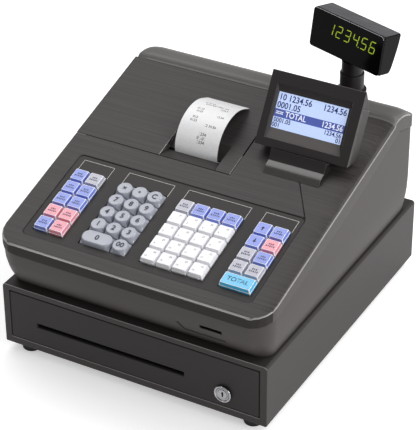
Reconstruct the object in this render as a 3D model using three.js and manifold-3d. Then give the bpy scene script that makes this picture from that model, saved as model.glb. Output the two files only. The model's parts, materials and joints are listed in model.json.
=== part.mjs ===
// A desktop cash register on its cash drawer, in millimetres.
// +Z is up, the operator faces +Y from the front, and the origin is on the floor under the middle.

import * as THREE from "three";
import { mergeVertices } from "three/addons/utils/BufferGeometryUtils.js";
import Module from "manifold-3d";

const wasm = await Module();
wasm.setup();

// ---- driving dimensions -------------------------------------------------------------------

const GAP = 0.3;                                  // clearance between separate pieces
const CABINET = { width: 355, front: -196.8, rear: 205.6, bottom: 12, top: 95.5, wall: 2 };
const FOOT = { x: 152, y: 180, radius: 10, flare: 12.5, chamfer: 1.5 };
const RUNNER = { front: -180, rear: 190, bottom: 19.5, flangeTop: 22, top: 70, thick: 2, lap: 6 };

// cash drawer
const FACE = { halfWidth: 168, bottom: 22, top: 87.6, thick: 6, frame: 8, radius: 3 };
const SLOT = { left: -130.4, right: 69.5, z: 49, height: 5 };             // for cheques and vouchers
const TRAY = { halfWidth: 160, front: -190.5, rear: 150, bottom: 22.5, top: 82, wall: 2 };
const STRIKER = { halfWidth: 10, front: 159.5, rear: 161.5, top: 34 };    // lip that the latch hooks
const TILL = {
  halfWidth: 154, front: -150, rear: 144, bottom: 26, top: 78,
  columns: 4, coinRows: 2, coinPitch: 56, wall: 2.5, floor: 2.5,
};
const CLIP = { reach: 112, halfWidth: 6, padHalf: 16, padLength: 16, thick: 2, barrel: 3, droop: 18 };
const LOCK = { x: 122, z: 41, radius: 11, flange: 2.4, sleeve: 8, sleeveLength: 15, plug: 6, plugLength: 19 };
const CAM = { halfWidth: 5, reach: 15, front: 15.6, rear: 18.2 };
const LATCH = { y: 178, z: 42, pin: 2, halfWidth: 4, lugInner: 5, lugOuter: 8, lugHalfDepth: 6 };

// register body
const SHELL = { halfWidth: 180, front: -205.6, rear: 188, wall: 3 };
const CORNER = { front: 28, rear: 15 };           // plan radii of the upper shell
const TUCK = { height: 52, side: 7, front: 21, corner: 10 };              // the housing narrows at its foot
const SLOPE = { angle: THREE.MathUtils.degToRad(14.85), height: 216.2 };  // height where y = 0
const RIDGE = { start: 124.7, top: 254.8, flatFrom: 134, flatTo: 137, drop: 45 };
const SEAM = [[-205.6, 148], [0, 190], [140.2, 229.2], [188, 214.7]];     // y, z of the side seam
const CARD_SLOT = { left: 93.5, right: 122, bottom: 125, top: 130, depth: 40 };
const GLAND = { x: -120, z: 118, flange: 9, neck: 6, bore: 3.6 };

// keyboard, in lengths along the slope and off it
const INSET = { left: -154.5, right: 150, front: -191, rear: -51.2, radius: 6, depth: 1.2, plate: 2.5 };
const KEY = { pitch: 20.7, base: 20.1, top: 17.4, height: 5, foot: -8, firstRow: -86.9, rows: 5 };
const WEB = { halfWidth: 6, bottom: -8.8, top: -7.6 };                    // joins the keys of one node
const KEY_GROUPS = {
  left: { centre: -124.2, columns: 2, rows: 5 },
  numeric: { centre: -51.2, columns: 3 },
  department: { centre: 41, columns: 4, rows: 5 },
  right: { centre: 122.8, columns: 2, rows: 4 },
};

// printer, in lengths along the slope and off it
const LID = { right: 32.5, front: -18.7, rear: 128.7, skirt: 9 };
const POCKET = { left: -64, right: 12.7, front: -18.7, rear: 24.4, depth: 8, wall: 3, slot: [0.6, 4.6] };
const PRINTER = { x: -25.6, width: 62, cheek: 4, plate: 3, front: -14, rear: 92, bottom: -84, top: -14 };
const PLATEN = { s: 0, d: -19, radius: 6, axle: 2 };
const ROLL = { s: 62, d: -46, radius: 30, axle: 3 };
const PAPER = { halfWidth: 29, thick: 0.4 };
const PAPER_PATH = [                              // y, z from the slot to the curled end
  [5.4, 204.8], [4.6, 210], [5.2, 218], [9.5, 229.5], [18, 240], [30, 247.3], [42, 250.6],
  [55, 251.3], [68, 248.6], [80, 243.8], [86.5, 241],
];

// operator display
const SCREEN = {
  left: 44.1, front: 21.7, bottom: 236.7, width: 121.9, height: 91.2, depth: 24.6, lean: 31.3,
};
const VIEW = { left: 10.6, right: 108.5, bottom: 11.5, top: 75.6, frame: 3, hood: 71, roof: 3 };
const LCD = { front: 4.6, rear: 10, bottom: 15, lap: 2 };
const SCREEN_HINGE = { y: 24.5, z: 233.5, pin: 1.3, barrel: 2.7 };
const STAND = { left: 68, right: 141, front: -1.7, rear: 34, ear: 5, play: 0.6 };

// customer display
const POLE = { x: 103.6, y: 163, radius: 13.2, bottom: 200, top: 298, neck: 8.5, neckTop: 306 };
const SLEEVE = { radius: 15, flange: 18.3, flangeHeight: 3.8, bottom: 221, height: 60, bossHeight: 20 };
const HEAD = {
  width: 115, height: 50, depth: 31, yaw: -18.4, lean: 9, centre: 325.6, forward: 13.6,
  window: 3, wall: 2.4, radius: 4,
};
const HEAD_BACK = [[10.4, -25], [12.8, -14], [15.2, 0], [16.8, 14], [17.4, 25]];

// ---- helpers ------------------------------------------------------------------------------

function toSolid(geometry) {
  const plain = geometry.clone();
  plain.deleteAttribute("normal");
  plain.deleteAttribute("uv");
  const merged = mergeVertices(plain, 1e-4);
  return new wasm.Manifold(new wasm.Mesh({
    numProp: 3,
    vertProperties: new Float32Array(merged.attributes.position.array),
    triVerts: new Uint32Array(merged.index.array),
  }));
}

function toGeometry(solid) {
  const mesh = solid.getMesh();
  const geometry = new THREE.BufferGeometry();
  geometry.setAttribute("position", new THREE.BufferAttribute(mesh.vertProperties, 3));
  geometry.setIndex(new THREE.BufferAttribute(mesh.triVerts, 1));
  geometry.computeVertexNormals();
  return geometry;
}

function join(...geometries) {
  return toGeometry(geometries.map(toSolid).reduce((a, b) => a.add(b)));
}

function cut(geometry, ...tools) {
  return toGeometry(tools.map(toSolid).reduce((a, b) => a.subtract(b), toSolid(geometry)));
}

function common(...geometries) {
  return toGeometry(geometries.map(toSolid).reduce((a, b) => a.intersect(b)));
}

function box(x0, x1, y0, y1, z0, z1) {
  const geometry = new THREE.BoxGeometry(x1 - x0, y1 - y0, z1 - z0);
  return geometry.translate((x0 + x1) / 2, (y0 + y1) / 2, (z0 + z1) / 2);
}

function rod(radius, length, segments = 24) {     // along +Z from the origin
  const geometry = new THREE.CylinderGeometry(radius, radius, length, segments);
  return geometry.rotateX(Math.PI / 2).translate(0, 0, length / 2);
}

function polygon(points) {
  return new THREE.Shape(points.map(([x, y]) => new THREE.Vector2(x, y)));
}

// A side outline in (y, z) carried from x0 to x1.
function alongX(outline, x0, x1) {
  const geometry = new THREE.ExtrudeGeometry(outline, {
    depth: x1 - x0, bevelEnabled: false, curveSegments: 10,
  });
  const axes = new THREE.Matrix4().makeBasis(
    new THREE.Vector3(0, 1, 0), new THREE.Vector3(0, 0, 1), new THREE.Vector3(1, 0, 0));
  return geometry.applyMatrix4(axes).translate(x0, 0, 0);
}

// A plan outline in (x, y) carried from z0 to z1.
function alongZ(outline, z0, z1) {
  const geometry = new THREE.ExtrudeGeometry(outline, {
    depth: z1 - z0, bevelEnabled: false, curveSegments: 6,
  });
  return geometry.translate(0, 0, z0);
}

// Points of a rectangle with its own radius on the -y and +y corners, counter-clockwise.
function roundedPoints(x0, x1, y0, y1, frontRadius, rearRadius = frontRadius, steps = 5) {
  const corners = [
    [x1 - rearRadius, y1 - rearRadius, rearRadius, 0],
    [x0 + rearRadius, y1 - rearRadius, rearRadius, 90],
    [x0 + frontRadius, y0 + frontRadius, frontRadius, 180],
    [x1 - frontRadius, y0 + frontRadius, frontRadius, 270],
  ];
  const points = [];
  for (const [x, y, radius, start] of corners) {
    for (let i = 0; i <= steps; i += 1) {
      const angle = THREE.MathUtils.degToRad(start + (90 * i) / steps);
      points.push([x + radius * Math.cos(angle), y + radius * Math.sin(angle)]);
    }
  }
  return points;
}

function roundedShape(...sizes) {
  return polygon(roundedPoints(...sizes));
}

// A closed solid through a stack of outlines: each section is [z, points], all of one count.
function loft(sections) {
  const count = sections[0][1].length;
  const positions = sections.flatMap(([z, points]) => points.flatMap(([x, y]) => [x, y, z]));
  const index = [];
  for (let k = 0; k + 1 < sections.length; k += 1) {
    for (let i = 0; i < count; i += 1) {
      const a = k * count + i;
      const b = k * count + ((i + 1) % count);
      index.push(a, b, a + count, b, b + count, a + count);
    }
  }
  const cap = (points) => THREE.ShapeUtils.triangulateShape(
    points.map(([x, y]) => new THREE.Vector2(x, y)), []);
  const top = (sections.length - 1) * count;
  for (const [a, b, c] of cap(sections[0][1])) {
    index.push(a, c, b);
  }
  for (const [a, b, c] of cap(sections[sections.length - 1][1])) {
    index.push(top + a, top + b, top + c);
  }
  const geometry = new THREE.BufferGeometry();
  geometry.setAttribute("position", new THREE.Float32BufferAttribute(positions, 3));
  geometry.setIndex(index);
  geometry.computeVertexNormals();
  return geometry;
}

const register = new THREE.Group();

const slope = new THREE.Group();                  // local x, distance up the slope, height off it
slope.position.z = SLOPE.height;
slope.rotation.x = SLOPE.angle;
slope.updateMatrix();
register.add(slope);

function onSlope(geometry) {
  return geometry.clone().applyMatrix4(slope.matrix);
}

function slopeHeight(y) {
  return SLOPE.height + Math.tan(SLOPE.angle) * y;
}

const FINISH = {
  darkPlastic: { color: 0x4a4745, roughness: 0.55, metalness: 0 },
  housingPlastic: { color: 0x6b6866, roughness: 0.6, metalness: 0 },
  blackPlastic: { color: 0x262323, roughness: 0.5, metalness: 0 },
  glossBlack: { color: 0x101012, roughness: 0.15, metalness: 0 },
  paintedSteel: { color: 0x3a3735, roughness: 0.5, metalness: 0.3 },
  steel: { color: 0xb0b2b4, roughness: 0.35, metalness: 0.9 },
  chrome: { color: 0xd8dadc, roughness: 0.12, metalness: 1 },
  rubber: { color: 0x161616, roughness: 0.9, metalness: 0 },
  board: { color: 0x1f5a34, roughness: 0.6, metalness: 0 },
  greyKey: { color: 0xc8c8d4, roughness: 0.45, metalness: 0 },
  blueKey: { color: 0x8c9be6, roughness: 0.35, metalness: 0 },
  whiteKey: { color: 0xf2f2f4, roughness: 0.35, metalness: 0 },
  cyanKey: { color: 0x7dcdfa, roughness: 0.35, metalness: 0 },
  screen: { color: 0xc8dcfa, roughness: 0.2, metalness: 0 },
  paper: { color: 0xf5f5f5, roughness: 0.9, metalness: 0 },
};

function add(name, geometry, finish, parent = register) {
  const mesh = new THREE.Mesh(geometry, new THREE.MeshStandardMaterial(FINISH[finish]));
  mesh.name = name;
  parent.add(mesh);
  return mesh;
}

// ---- cash drawer cabinet --------------------------------------------------------------------

function cabinetShell() {
  const half = CABINET.width / 2;
  const depth = CABINET.rear - CABINET.front;
  const outline = roundedShape(-half, half, CABINET.bottom, CABINET.top, 1.5, 4);
  const block = new THREE.ExtrudeGeometry(outline, { depth, bevelEnabled: false });
  block.rotateX(Math.PI / 2).translate(0, CABINET.rear, 0);
  const inner = half - CABINET.wall;
  const hollow = box(-inner, inner, CABINET.front + FACE.frame, CABINET.rear - CABINET.wall,
    CABINET.bottom + CABINET.wall, CABINET.top - CABINET.wall);
  const margin = 2 * GAP;
  const mouth = box(-FACE.halfWidth - margin, FACE.halfWidth + margin,
    CABINET.front - 1, CABINET.front + FACE.frame + 1, FACE.bottom - margin, FACE.top + margin);
  const { lugInner, lugOuter } = LATCH;
  return join(cut(block, hollow, mouth), latchLug(-lugOuter, -lugInner), latchLug(lugInner, lugOuter));
}

function addFeet() {
  const top = CABINET.bottom - GAP;
  const { radius, flare, chamfer } = FOOT;
  const profile = [[0, 0], [radius, 0], [radius + chamfer, chamfer], [flare, top], [0, top]];
  const turned = profile.map(([r, height]) => new THREE.Vector2(r, height));
  for (const [end, y] of [["front", -FOOT.y], ["rear", FOOT.y]]) {
    for (const [side, x] of [["left", -FOOT.x], ["right", FOOT.x]]) {
      const foot = new THREE.LatheGeometry(turned, 20).rotateX(Math.PI / 2);
      add(`foot_${end}_${side}`, foot, "rubber").position.set(x, y, 0);
    }
  }
}

function runner(side) {                            // a steel angle that the drawer tray slides on
  const { front, rear, bottom, flangeTop, top, thick, lap } = RUNNER;
  const wall = CABINET.width / 2 - CABINET.wall - GAP;
  const flange = box(TRAY.halfWidth - lap, wall, front, rear, bottom, flangeTop);
  const upright = box(wall - thick, wall, front, rear, bottom, top);
  const angle = join(flange, upright);
  return side < 0 ? angle.rotateZ(Math.PI).translate(0, front + rear, 0) : angle;
}

// ---- drawer ---------------------------------------------------------------------------------

function drawerFace() {
  const y0 = CABINET.front;
  const y1 = CABINET.front + FACE.thick;
  const outline = roundedShape(-FACE.halfWidth, FACE.halfWidth, FACE.bottom, FACE.top, FACE.radius);
  const panel = new THREE.ExtrudeGeometry(outline, { depth: FACE.thick, bevelEnabled: false });
  panel.rotateX(Math.PI / 2).translate(0, y1, 0);
  const half = SLOT.height / 2;
  const slot = box(SLOT.left, SLOT.right, y0 - 1, y1 + 1, SLOT.z - half, SLOT.z + half);
  const bore = rod(LOCK.sleeve + GAP, 30).rotateX(Math.PI / 2).translate(LOCK.x, y1 + 8, LOCK.z);
  return cut(panel, slot, bore);
}

function drawerTray() {
  const { halfWidth, front, rear, bottom, top, wall } = TRAY;
  const body = box(-halfWidth, halfWidth, front, rear, bottom, top);
  const hollow = box(-halfWidth + wall, halfWidth - wall, front + wall, rear - wall,
    bottom + wall, top + 1);
  const way = (x0, x1, z, half) => box(x0, x1, front - 1, front + wall + 1, z - half, z + half);
  const slotWay = way(SLOT.left - 4, SLOT.right + 4, SLOT.z, 6);
  const lockWay = way(LOCK.x - 16, LOCK.x + 16, LOCK.z, 16);
  const { halfWidth: lipHalf, front: lipFront, rear: lipRear, top: lipTop } = STRIKER;
  const foot = box(-lipHalf, lipHalf, rear - 1, lipRear, bottom, bottom + wall);
  const lip = box(-lipHalf, lipHalf, lipFront, lipRear, bottom, lipTop);
  return join(cut(body, hollow, slotWay, lockWay), foot, lip);
}

function tillCompartments() {                     // coin cups in front, one banknote bay behind each column
  const { halfWidth, front, rear, columns, coinRows, coinPitch, wall } = TILL;
  const pitch = (2 * halfWidth) / columns;
  const bayFront = front + coinRows * coinPitch;
  const bays = [];
  for (let column = 0; column < columns; column += 1) {
    const x0 = -halfWidth + pitch * column + wall;
    const x1 = x0 + pitch - 2 * wall;
    bays.push([x0, x1, bayFront + wall, rear - wall]);
    for (let row = 0; row < coinRows; row += 1) {
      const y0 = front + coinPitch * row + wall;
      bays.push([x0, x1, y0, y0 + coinPitch - wall]);
    }
  }
  return bays;
}

function tillInsert() {
  const { halfWidth, front, rear, bottom, top, floor } = TILL;
  const block = box(-halfWidth, halfWidth, front, rear, bottom, top);
  const hollow = ([x0, x1, y0, y1]) => box(x0, x1, y0, y1, bottom + floor, top + 1);
  return cut(block, ...tillCompartments().map(hollow));
}

function billClip() {                             // hangs from a pin at the back of its bay
  const { reach, halfWidth, padHalf, padLength, barrel } = CLIP;
  const half = CLIP.thick / 2;
  const arm = box(-halfWidth, halfWidth, -reach + padLength - 4, 0, -half, half);
  const pad = box(-padHalf, padHalf, -reach, -reach + padLength, -half, half);
  const roller = rod(barrel, 30, 12).rotateY(Math.PI / 2).translate(-15, 0, 0);
  return join(arm, pad, roller);
}

function addBillClips() {
  const pitch = (TILL.halfWidth * 2) / TILL.columns;
  for (let i = 0; i < TILL.columns; i += 1) {
    const clip = add(`bill_clip_${i + 1}`, billClip(), "darkPlastic");
    clip.position.set(-TILL.halfWidth + pitch * (i + 0.5), TILL.rear - 10, TILL.top - 8);
    clip.rotation.x = THREE.MathUtils.degToRad(CLIP.droop);
  }
}

function lockBezel() {
  const flange = rod(LOCK.radius, LOCK.flange, 32);
  const sleeve = rod(LOCK.sleeve, LOCK.sleeveLength, 32);
  const bore = rod(LOCK.plug + GAP, 30, 32).translate(0, 0, -5);
  return cut(join(flange, sleeve), bore);
}

function lockBarrel() {                           // the turning plug with its cam at the back
  const plug = rod(LOCK.plug, LOCK.plugLength, 32).translate(0, 0, -0.4);
  const cam = box(-CAM.halfWidth, CAM.halfWidth, -CAM.halfWidth, CAM.reach, CAM.front, CAM.rear);
  const keyway = box(-0.9, 0.9, -3.4, 3.4, -1, 3);
  return cut(join(plug, cam), keyway);
}

function addLock() {
  for (const [name, geometry] of [["lock_bezel", lockBezel()], ["lock_barrel", lockBarrel()]]) {
    const mesh = add(name, geometry, "chrome");
    mesh.rotation.x = -Math.PI / 2;               // local +Z runs back into the drawer
    mesh.position.set(LOCK.x, CABINET.front - LOCK.flange - GAP, LOCK.z);
  }
}

function drawerLatch() {                          // rocking hook, drawn lifted clear of the striker
  const hook = polygon([
    [4, -4], [4, 4], [-22, 3], [-26, 0], [-26, -6], [-22, -6], [-22, -2], [-6, -4],
  ]);
  const { pin, halfWidth, lugOuter } = LATCH;
  const pivot = rod(pin, 2 * lugOuter, 16).rotateY(Math.PI / 2).translate(-lugOuter, 0, 0);
  return join(alongX(hook, -halfWidth, halfWidth), pivot);
}

function latchLug(x0, x1) {
  const { y, z, pin, lugHalfDepth } = LATCH;
  const lug = box(x0, x1, y - lugHalfDepth, y + lugHalfDepth, CABINET.bottom + 1, z + 5);
  const hole = rod(pin + GAP, 40, 16).rotateY(Math.PI / 2).translate(-20, y, z);
  return cut(lug, hole);
}

// ---- register body --------------------------------------------------------------------------

function shellOutline(inset) {                    // side outline of the upper shell, in (y, z)
  const lower = inset / Math.cos(SLOPE.angle);
  const front = SHELL.front + inset;
  const shape = new THREE.Shape();
  shape.moveTo(front, 100);
  shape.lineTo(front, slopeHeight(SHELL.front) - 3.5 - lower);
  shape.quadraticCurveTo(front, slopeHeight(front) - lower, front + 4, slopeHeight(front + 4) - lower);
  shape.lineTo(RIDGE.start, slopeHeight(RIDGE.start) - lower);
  shape.lineTo(RIDGE.start + 1.8, slopeHeight(RIDGE.start) + 1.3 - lower);
  shape.quadraticCurveTo(RIDGE.flatFrom - 4, RIDGE.top - inset, RIDGE.flatFrom, RIDGE.top - inset);
  shape.lineTo(RIDGE.flatTo, RIDGE.top - inset);
  shape.ellipse(0, inset - RIDGE.drop, SHELL.rear - RIDGE.flatTo - inset, RIDGE.drop - inset,
    Math.PI / 2, 0, true);
  shape.lineTo(SHELL.rear - inset, 100);
  return shape;
}

function shellPlan(inset) {
  const half = SHELL.halfWidth - inset;
  return roundedShape(-half, half, SHELL.front + inset, SHELL.rear - inset,
    CORNER.front - inset, CORNER.rear - inset);
}

function shellBlock(inset) {
  return common(
    alongX(shellOutline(inset), -SHELL.halfWidth - 5, SHELL.halfWidth + 5),
    alongZ(shellPlan(inset), 90, 280),
  );
}

function aboveSeam(lift) {
  const outline = polygon([
    [SHELL.front - 10, SEAM[0][1] + lift],
    ...SEAM.map(([y, z]) => [y, z + lift]),
    [SHELL.rear + 10, SEAM[3][1] + lift],
    [SHELL.rear + 10, 300],
    [SHELL.front - 10, 300],
  ]);
  return alongX(outline, -SHELL.halfWidth - 10, SHELL.halfWidth + 10);
}

function lidRegion(grow) {
  return onSlope(box(-SHELL.halfWidth - 5, LID.right + grow, LID.front - grow, LID.rear + grow,
    -LID.skirt - grow, 5));
}

const upperSkin = cut(shellBlock(0), shellBlock(SHELL.wall));

function topCover() {
  const skin = common(upperSkin, aboveSeam(0.2));
  const { flange, bossHeight, radius } = SLEEVE;
  const boss = rod(flange, bossHeight, 32).translate(POLE.x, POLE.y, RIDGE.top - bossHeight - 0.4);
  const { left, right, front, rear } = INSET;
  const opening = alongZ(roundedShape(left, right, front, rear, INSET.radius), -10, 10);
  const poleHole = rod(radius + 0.4, 80, 32).translate(POLE.x, POLE.y, 200);
  return cut(join(skin, boss), onSlope(opening), lidRegion(GAP), poleHole);
}

function housingSection(z, grow) {                // the housing tucks in towards its foot
  const foot = CABINET.top + GAP;
  const rise = THREE.MathUtils.clamp((z - foot) / TUCK.height, 0, 1);
  const tuck = (1 - rise) ** 2;
  const side = SHELL.halfWidth - 1 - TUCK.side * tuck - grow;
  const front = SHELL.front + 1 + TUCK.front * tuck + grow;
  const frontRadius = CORNER.front - TUCK.corner * tuck - grow;
  return roundedPoints(-side, side, front, SHELL.rear - 1 - grow, frontRadius, CORNER.rear - grow);
}

function housingBlock(grow, bottom) {
  const foot = CABINET.top + GAP;
  const levels = [0, 3, 7, 12, 18, 26, 36, TUCK.height, 160].map((height) => foot + height);
  return loft([[bottom, housingSection(foot, grow)],
    ...levels.slice(bottom < foot ? 0 : 1).map((z) => [z, housingSection(z, grow)])]);
}

function lowerHousing() {
  const outer = housingBlock(0, CABINET.top + GAP);
  const inner = housingBlock(SHELL.wall, CABINET.top - 10);
  const { left, right, bottom, top, depth } = CARD_SLOT;
  const cardSlot = box(left, right, SHELL.front - 5, SHELL.front + depth, bottom, top);
  const gland = rod(GLAND.neck + 0.4, 20).rotateX(Math.PI / 2).translate(GLAND.x, SHELL.rear + 5, GLAND.z);
  return cut(outer, inner, aboveSeam(-0.2), cardSlot, gland);
}

function cordGland() {
  const flange = rod(GLAND.flange, 4, 24).translate(0, 0, SHELL.rear - 1 + GAP);
  const neck = rod(GLAND.neck, 9, 24).translate(0, 0, SHELL.rear - 8);
  const bore = rod(GLAND.bore, 30, 16).translate(0, 0, SHELL.rear - 15);
  return cut(join(flange, neck), bore).rotateX(-Math.PI / 2).translate(GLAND.x, 0, GLAND.z);
}

// ---- keyboard -------------------------------------------------------------------------------

const KEY_PLAY = 0.4;                             // room round each group of keys

function groupSpan({ centre, columns }) {
  const half = (columns * KEY.pitch) / 2 + KEY_PLAY;
  return [centre - half, centre + half];
}

function keyRow(row) {
  return KEY.firstRow - row * KEY.pitch;
}

function keyboardPanel() {
  const { left, right, front, rear, radius, depth, plate: thick } = INSET;
  const outline = roundedShape(left + GAP, right - GAP, front + GAP, rear - GAP, radius - GAP);
  const plate = alongZ(outline, -depth - thick, -depth);
  const under = -SHELL.wall - GAP;
  const flange = box(left - 4, right + 4, front - 4, rear + 4, under - 2, under);
  const half = KEY.pitch / 2 + KEY_PLAY;
  const openings = Object.values(KEY_GROUPS).map((group) => {
    const [x0, x1] = groupSpan(group);
    return box(x0, x1, keyRow(KEY.rows - 1) - half, keyRow(0) + half, -10, 5);
  });
  return cut(join(plate, flange), ...openings);
}

function keyboardBoard() {                        // contact board that the keys press on
  return box(INSET.left + 2, INSET.right - 2, INSET.front + 6, INSET.rear - 14, -14.6, -13);
}

// A square cap: straight skirt through the panel, then a tapered crown.
function squareKey(x, row, columns = 1) {
  const y = keyRow(row);
  const halfX = ((columns - 1) * KEY.pitch) / 2;
  const corner = 1.5;
  const ring = (size) => {
    const half = size / 2;
    return roundedPoints(x - halfX - half, x + halfX + half, y - half, y + half, corner, corner, 1);
  };
  return loft([
    [KEY.foot, ring(KEY.base - 1)],
    [1, ring(KEY.base - 0.4)],
    [KEY.height - 0.8, ring(KEY.top + 0.8)],
    [KEY.height, ring(KEY.top - 0.6)],
  ]);
}

// A numeric cap: square foot and a crown that rounds off towards its far end.
function domedKey(x, row, columns = 1) {
  const y = keyRow(row);
  const halfX = ((columns - 1) * KEY.pitch) / 2;
  const half = KEY.base / 2 - 0.4;
  const ring = (inset, radius) => {
    const size = half - inset;
    const far = Math.min(radius * 1.6, size);
    return roundedPoints(x - halfX - size, x + halfX + size, y - size, y + size, radius, far, 3);
  };
  return loft([
    [KEY.foot, ring(0.4, 1)],
    [-0.5, ring(0, 1)],
    [KEY.height - 1, ring(1, 5)],
    [KEY.height, ring(2, 5)],
  ]);
}

// A strip under the panel that makes one solid of the keys between two places.
function keyWeb(x0, x1, y0, y1) {
  const half = WEB.halfWidth;
  return box(x0 - half, x1 + half, y0 - half, y1 + half, WEB.bottom, WEB.top);
}

function columnPlace({ centre, columns }, column) {
  return centre + (column - (columns - 1) / 2) * KEY.pitch;
}

function addKeyColumns(name, finish) {
  const group = KEY_GROUPS[name];
  for (let column = 0; column < group.columns; column += 1) {
    const x = columnPlace(group, column);
    const caps = Array.from({ length: group.rows }, (_, row) => squareKey(x, row));
    const web = keyWeb(x, x, keyRow(group.rows - 1), keyRow(0));
    add(`${name}_key_column_${column + 1}`, join(web, ...caps), finish, slope);
  }
}

function addNumericKeys() {
  const place = (column) => columnPlace(KEY_GROUPS.numeric, column);
  const bar = keyWeb(place(0), place(2), keyRow(0), keyRow(0));
  const functions = [0, 1, 2].map((column) => domedKey(place(column), 0));
  add("numeric_function_keys", join(bar, ...functions), "greyKey", slope);
  for (let digit = 1; digit <= 9; digit += 1) {
    const row = 3 - Math.floor((digit - 1) / 3);
    add(`key_${digit}`, domedKey(place((digit - 1) % 3), row), "greyKey", slope);
  }
  add("key_0", domedKey(place(0.5), 4, 2), "greyKey", slope);
  add("key_00", domedKey(place(2), 4), "greyKey", slope);
}

function addKeys() {
  addKeyColumns("left", "blueKey");
  addKeyColumns("department", "whiteKey");
  addKeyColumns("right", "blueKey");
  addNumericKeys();
  add("key_total", squareKey(KEY_GROUPS.right.centre, 4, 2), "cyanKey", slope);
}

// ---- printer --------------------------------------------------------------------------------

function printerCover() {                         // a lid with a sloping pocket where the paper leaves
  const { left, right, front, rear, depth, wall, slot } = POCKET;
  const pocket = onSlope(box(left, right, front - 2, rear, -5, 5));
  const floor = -depth - wall;
  const [near, far] = slot;
  const ramp = polygon([[front, 0], [front, -wall], [near - 2.5, floor], [near, floor], [near, -depth]]);
  const back = polygon([
    [far, -depth], [far, floor], [far + 2.5, floor], [rear + 0.5, -wall], [rear + 0.5, -0.2], [rear, -0.2],
  ]);
  const cheek = polygon([
    [front, -GAP], [front, -wall], [near - 2.5, floor], [far + 2.5, floor], [rear, -wall], [rear, -GAP],
  ]);
  return join(
    cut(common(upperSkin, lidRegion(0)), pocket),
    onSlope(alongX(ramp, left - 1, right + 1)),
    onSlope(alongX(back, left - 1, right + 1)),
    onSlope(alongX(cheek, left - 2, left + 0.2)),
    onSlope(alongX(cheek, right - 0.2, right + 2)),
  );
}

function receiptPaper() {                         // leaves the slot and curls back over the cover
  const curve = new THREE.SplineCurve(PAPER_PATH.map(([y, z]) => new THREE.Vector2(y, z)));
  const spine = curve.getSpacedPoints(16);
  const side = (offset) => spine.map((point, i) => {
    const before = spine[Math.max(i - 1, 0)];
    const after = spine[Math.min(i + 1, spine.length - 1)];
    const along = after.clone().sub(before).normalize();
    return [point.x - along.y * offset, point.y + along.x * offset];
  });
  const outline = [...side(PAPER.thick / 2), ...side(-PAPER.thick / 2).reverse()];
  return alongX(polygon(outline), PRINTER.x - PAPER.halfWidth, PRINTER.x + PAPER.halfWidth);
}

const frameHalf = PRINTER.width / 2 + PRINTER.cheek;     // middle of the printer's side plates

function printerFrame() {
  const { x, plate, front, rear, bottom, top } = PRINTER;
  const side = polygon([
    [front, -30], [front, top], [12, top], [32, -40], [rear, -40], [rear, bottom], [front, bottom],
  ]);
  const plates = [-frameHalf, frameHalf].map((offset) => {
    const middle = x + offset;
    return alongX(side, middle - plate / 2, middle + plate / 2);
  });
  const floor = box(x - frameHalf, x + frameHalf, front, rear, bottom, bottom + plate);
  const printHead = box(x - frameHalf, x + frameHalf, -13, -9, -31, -15);
  const axleHole = ({ s, d, axle }) => rod(axle + 0.4, 120, 16).rotateY(Math.PI / 2).translate(x - 60, s, d);
  return cut(join(...plates, floor, printHead), axleHole(PLATEN), axleHole(ROLL));
}

// A roller of one length on a longer axle through both side plates.
function rollerOnAxle({ radius, axle }, halfLength, segments) {
  const roller = rod(radius, 2 * halfLength, segments).translate(0, 0, -halfLength);
  const axleHalf = frameHalf + 4;
  const shaft = rod(axle, 2 * axleHalf, 16).translate(0, 0, -axleHalf);
  return join(roller, shaft).rotateY(Math.PI / 2);
}

// ---- operator display -----------------------------------------------------------------------

function displayStand() {
  const { left, right, front, rear, ear } = STAND;
  const { y, z, pin } = SCREEN_HINGE;
  const base = (place) => slopeHeight(place) + GAP;
  const wall = polygon([
    [front, base(front)], [rear, base(rear)], [rear, base(rear) + 1.2], [20.2, base(20.2) + 2], [20, 237.8],
    [18.9, 238.7], [16.4, 232], [13, 226], [11.6, 225.4], [8, 224.2], [4.4, 222.2], [1.4, 219.4],
    [-0.4, 217.4], [front, base(front) + 0.4],
  ]);
  const lug = polygon([[19.5, 224], [30, 226], [28, z], [26.5, z + 2.2], [22.5, z + 2.2], [19.5, z]]);
  const hole = rod(pin + GAP, 200, 16).rotateY(Math.PI / 2).translate(0, y, z);
  return cut(
    join(alongX(wall, left, right), alongX(lug, left, left + ear), alongX(lug, right - ear, right)),
    hole,
  );
}

const screen = new THREE.Group();                 // local x, depth behind the face, height up it
screen.position.set(SCREEN.left, SCREEN.front, SCREEN.bottom);
screen.rotation.x = THREE.MathUtils.degToRad(-SCREEN.lean);
screen.updateMatrix();
register.add(screen);

function displayFront() {
  const { width, height, depth } = SCREEN;
  const hood = VIEW.hood + GAP;
  const outline = polygon([
    [0, 0.6], [0, height], [1.5, height], [depth, hood], [VIEW.frame, hood], [VIEW.frame, 1.6],
  ]);
  const window = box(VIEW.left, VIEW.right, -5, 8, VIEW.bottom, VIEW.top);
  return cut(alongX(outline, 0, width), window);
}

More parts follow.
